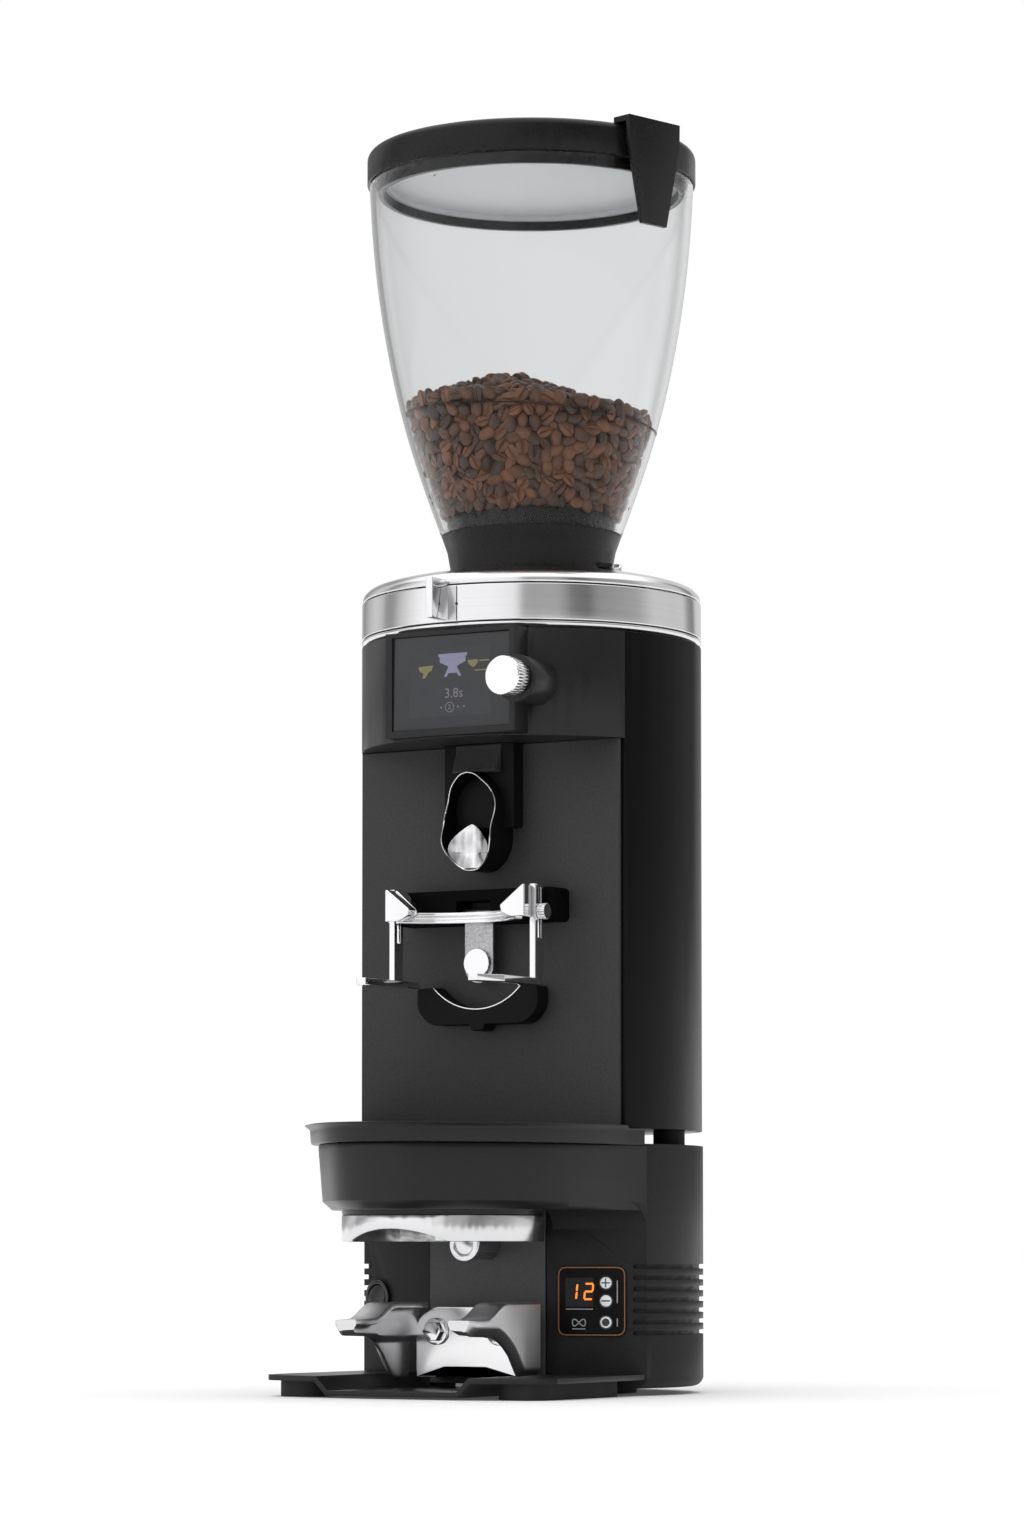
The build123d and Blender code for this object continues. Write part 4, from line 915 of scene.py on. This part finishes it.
def spout():
    """A lobed mouth: a thin bright edge, a skin back to the panel and a dark bore behind, skin and bore
    darkened with painted shade.

    All three are one closed rim line, moved outwards from the middle and back by given amounts.
    The tongue is a grid between the rim's two sides that hollows as it climbs and comes to a point.
    """
    half = spline(SPOUT_RIM, 60)
    rim = np.concatenate([half, (half * [-1, 1, 1])[-2:0:-1]])
    centre = np.array([0, -70.0, 321.0])

    def grown(by, back):
        """The rim moved by millimetres away from the middle and back towards the panel."""
        away = rim - centre
        away[:, 1] = 0
        away /= np.linalg.norm(away, axis=1)[:, None]
        return rim + by * away + [0, back, 0]
    n = len(rim)
    line = np.concatenate([grown(0.75, 0.5), grown(0.7, -0.1), grown(0.35, -0.35), grown(0.0, -0.1),
                           grown(-0.1, 0.6), grown(0.2, 1.6)])
    piece("spout_edge", line, grid_faces(6, n, True, True), POLISHED, "stand", "polished_steel",
          outward=True)
    at_panel = grown(0.6, 0)
    at_panel[:, 1] = -48.9
    nose = np.concatenate([grown(0.7, 0.5), grown(0.9, 3), 0.5 * (grown(0.9, 3) + at_panel), at_panel])
    inner = [grown(-0.1, 0.6), grown(-0.3, 4), grown(-1.2, 12)]
    throat = centre + 0.55 * (grown(-1, 0) - centre)
    throat[:, 1] = -50.5
    bore = np.concatenate(inner + [throat])
    # the skin's black is darkened with painted shade
    piece("spout_skin", nose, grid_faces(4, n, False, True), SHADE_PAINTED_BLACK, "stand", "black_moulding",
          outward=True)
    faces = grid_faces(4, n, False, True, True).tolist() + [list(range(3 * n, 4 * n))]
    # the bore's black is painted shade in the recess
    piece("spout_bore", bore, faces, BORE_SHADE_BLACK, "stand", "black_moulding")
    z = np.linspace(295.2, 320.2, 40)[:, None]
    u = np.linspace(-1, 1, 33)[None, :]
    edge_x = np.interp(z[:, 0], half[::-1, 2], half[::-1, 0])[:, None] - 0.2
    edge_y = np.interp(z[:, 0], half[::-1, 2], half[::-1, 1])[:, None] + 0.8
    climb = np.clip((z - 302) / 18.2, 0, 1)
    arch = np.clip(1 - climb ** 1.5, 0.0005, 1) ** 0.75
    x = edge_x * u * arch - 1.8 * climb
    depth = np.clip((z - 295.2) / 9.0, 0, 1) * 7.2
    y = edge_y + depth * (1 - 0.9 * (u * arch) ** 2)
    tongue = np.stack([x, y, z + 0 * u], -1)
    back = tongue + [0, 0.7, 0]
    rows, cols = tongue.shape[:2]
    k = rows * cols
    ring = np.concatenate([np.arange(cols), np.arange(1, rows) * cols + cols - 1,
                           (rows - 1) * cols + np.arange(cols - 2, -1, -1),
                           np.arange(rows - 2, 0, -1) * cols])
    rim_faces = np.stack([ring, np.roll(ring, -1), np.roll(ring, -1) + k, ring + k], 1).tolist()
    behind = grid_faces(rows, cols, flip=True) + k
    faces = grid_faces(rows, cols).tolist() + behind.tolist() + rim_faces
    both = np.concatenate([tongue.reshape(-1, 3), back.reshape(-1, 3)])
    lip = piece("spout_tongue", both, faces, TONGUE, "stand", "polished_steel", weld=0.001,
                outward=True)
    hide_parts("chute_liner")
    plate = rounded([(-22.6, 318), (22.6, 318), (22.6, 365.8), (-22.6, 365.8)], [2, 2, 0.2, 0.2])
    block = slab(plate, 0, 10.5, on_front(-48.8))
    # the block's black is darkened with painted shade
    body = piece("spout_block", *block, SHADE_PAINTED_BLACK, "stand", "black_moulding", bevel=0.8)
    shoulder = [(-60.4, 365.8), (-61.5, 360), (-67.0, 349.4), (-50, 349.4), (-50, 365.8)]

    def widening(q):
        """Places (y, z, across), the width growing a little with height."""
        return np.stack([q[:, 2] * (1 + 0.004 * (q[:, 1] - 345)), q[:, 0], q[:, 1]], 1)
    front = slab(shoulder, -13.6, 13.6, widening)
    piece("spout_face", *front, POWDER, "stand", "black_moulding", bevel=1.2, outward=True)
    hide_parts("chute_block")


# ---- upper fork ----------------------------------------------------------------------
LIP_CENTRE_Y = -115
PRONG_ARC_Z = 254.4
SCREW_Y, SCREW_Z = -73.6, 268.6


def fork_rest():
    """The polished rest: a grooved lip carried along an arc, between two faceted wings.

    The arc is struck from a point in front of the rest, on the middle line.
    """
    turn = np.radians(np.linspace(-51, 51, 97))[:, None]
    section = rounded([(48.9, 264.3), (48.9, 266.1), (50.3, 266.7), (50.3, 268.0), (48.9, 268.6),
                       (49.1, 270.6), (52.8, 271.0), (52.8, 264.2)], 0.55, 4)
    r, z = section[None, :, 0], section[None, :, 1]
    points = np.stack([r * np.sin(turn), LIP_CENTRE_Y + r * np.cos(turn), z + 0 * turn], -1)
    lip = stack("rest_lip", points, POLISHED, "stand", "polished_steel")
    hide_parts("fork_wings")
    for side, name in ((-1, "left_wing"), (1, "right_wing")):
        front, behind = [np.array([(outer, 265.4), (outer, 283.4), (outer - 1.6, 283.4), (29.4, 272.2),
                                   (30.4, 268.2), (36.6, 265.4)]) * [side, 1] for outer in (45.3, 43.6)]
        wing = joined(slab(front, 0, 8.2, on_front(-78.8)), slab(behind, 0, 9.4, on_front(-69.6)))
        piece(name, *wing, POLISHED, "stand", "polished_steel", bevel=0.8)


def lower_bracket():
    """The black bracket under the prongs: a plate whose top is cut to an arc, every corner rounded, with a
    painted highlight along the arc.
    """
    bend = np.radians(np.linspace(222, 318, 25))
    arc = np.stack([38 * np.cos(bend), PRONG_ARC_Z + 38 * np.sin(bend)], 1)
    ears = [(39.2, 228.6), (39.5, 216), (31, 207.5), (5, 207.4), (4, 204), (-4, 204), (-5, 207.4),
            (-31, 207.5), (-39.5, 216), (-39.2, 228.6)]
    outline = np.concatenate([arc, rounded(ears, [1.5, 5, 5, 1, 2, 2, 1, 5, 5, 1.5], 6)])
    plate = slab(outline, 0, 12.4, on_front(-49.4))
    # the plate's black plastic is darkened with painted shade
    made = piece("arc_bracket", *plate, SHADE_PAINTED_BLACK, "fork", "black_shell", bevel=0.7)
    # a thin polished strip along the arc's front edge is a painted highlight on the black plastic
    middle = [0, PRONG_ARC_Z]
    line = np.concatenate([arc, (arc[::-1] - middle) * 1.013 + middle])
    piece("arc_highlight_strip", *slab(line, 0, 0.3, on_front(-61.7)), POLISHED, "fork", "polished_steel")
    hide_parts("lower_bracket")


def thumb_screws():
    """Two screws whose heads carry sixteen shallow knurls; the left one stands less proud."""
    turn = np.linspace(0, 2 * pi, 128, endpoint=False)
    knurl = 4.3 + 0.25 * np.cos(16 * turn)
    head = np.stack([SCREW_Y + knurl * np.cos(turn), SCREW_Z + knurl * np.sin(turn)], 1)
    shank = circle(1.5, 24, (SCREW_Y, SCREW_Z))

    def across(q):
        """Places (y, z, distance to the right)."""
        return np.stack([q[:, 2], q[:, 0], q[:, 1]], 1)
    both = joined(*(slab(outline, low, high, across)
                    for outline, low, high in ((head, 47.8, 52.6), (shank, 43.9, 47.9),
                                               (head, -49.0, -47.6), (shank, -47.7, -43.9))))
    made = piece("screw_heads", *both, POLISHED, "stand", "polished_steel", bevel=0.3, outward=True)
    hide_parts("thumb_screws")


def trigger_disc():
    """The bright contact plate: a flat disc with a broken edge."""
    disc = slab(circle(8.2, 72, (0, 242)), 0, 3.0, on_front(-59.6))
    piece("contact_plate", *disc, POLISHED, "trigger", "brushed_steel", bevel=0.4)


def column_front():
    """The wall between the side facets, filled out to the left one, so only its right joint shows."""
    outline = rounded([(-38.1, 6.2), (37, 6.2), (37, 106.8), (-38.1, 106.8)], 0.5)
    wall = slab(outline, 0, 3.6, on_front(-45.6))
    made = piece("front_wall", *wall, CHARCOAL, "stand", "black_shell", bevel=0.3)
    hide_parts("column_wall")


# ---- everything in its place ---------------------------------------------------------
RECORD = frame["record"]
BODY_OF = {node: body for body, members in RECORD["behaviour"]["bodies"].items() for node in members}
SLOT_OF = {part["node"]: part["material_slot"] for part in RECORD["subparts"]}

# the width in millimetres that each node's sharp edges are broken by, and its finish
BROKEN_EDGES = {
    # the rear housing's finish carries painted shade
    "front_panel": (0.5, POWDER), "rear_housing": (0.5, SHADED_SIDE_BLACK), "head_housing": (0.6, POWDER_SATIN),
    # the fork bracket's finish paints shade into its hole
    "display_bezel": (0.5, POWDER_SATIN), "fork_bracket": (0.8, BORE_SHADE_BLACK),
    "fork_arms": (0.35, POLISHED), "base_plate": (0.6, POWDER_SATIN), "steel_collar": (0.4, SATIN),
    # the control panel's finish carries painted shade
    "sensor_housing": (0.4, SATIN), "sensor_button": (0.3, SATIN), "control_panel": (0.2, SHADE_PAINTED_BLACK),
    "rocker_bezel": (0.6, GLOSS_BLACK), "tamper_rocker": (0.4, GLOSS_BLACK),
    "ring_lever": (0.3, POLISHED), "trigger_lever": (0.3, BRUSHED), "lid_flap": (0.7, MOULDED),
    "hopper_neck": (0.4, MOULDED), "cradle_bolts": (0.4, POLISHED), "tamper_body": (0.4, BASE_BLACK),
    "plus_button": (0.25, BUTTON), "minus_button": (0.25, BUTTON), "set_button": (0.25, BUTTON),
    "display_screen": (0.3, DARK_GLASS), "lid_band": (0.3, MOULDED),
}


def dress(obj, mat):
    """Gives an object one finish in place of what it had."""
    obj.data.materials.clear()
    obj.data.materials.append(mat)


def lay_floor():
    """A wide pale sheet that glows a little, so that it meets the white behind it."""
    mesh = bpy.data.meshes.new("floor")
    corners = [(a * FLOOR_HALF, b * FLOOR_HALF, 0) for a, b in ((-1, -1), (1, -1), (1, 1), (-1, 1))]
    mesh.from_pydata(corners, [], [(0, 1, 2, 3)])
    floor = bpy.data.objects.new("floor", mesh)
    bpy.context.scene.collection.objects.link(floor)
    dress(floor, FLOOR)


set_camera()
set_light()
lay_floor()
for mat, names in NODE_FINISH.items():
    for name in names.split():
        dress(NODES[name], mat)
for node, (width, mat) in BROKEN_EDGES.items():
    broken_edges(node, width, mat, SLOT_OF[node], BODY_OF[node])
bowl()
beans()
grind_head()
knob()
display()
panel_marks()
hood()
hood_coves()
tray()
cradle()
spout()
fork_rest()
lower_bracket()
thumb_screws()
trigger_disc()
column_front()
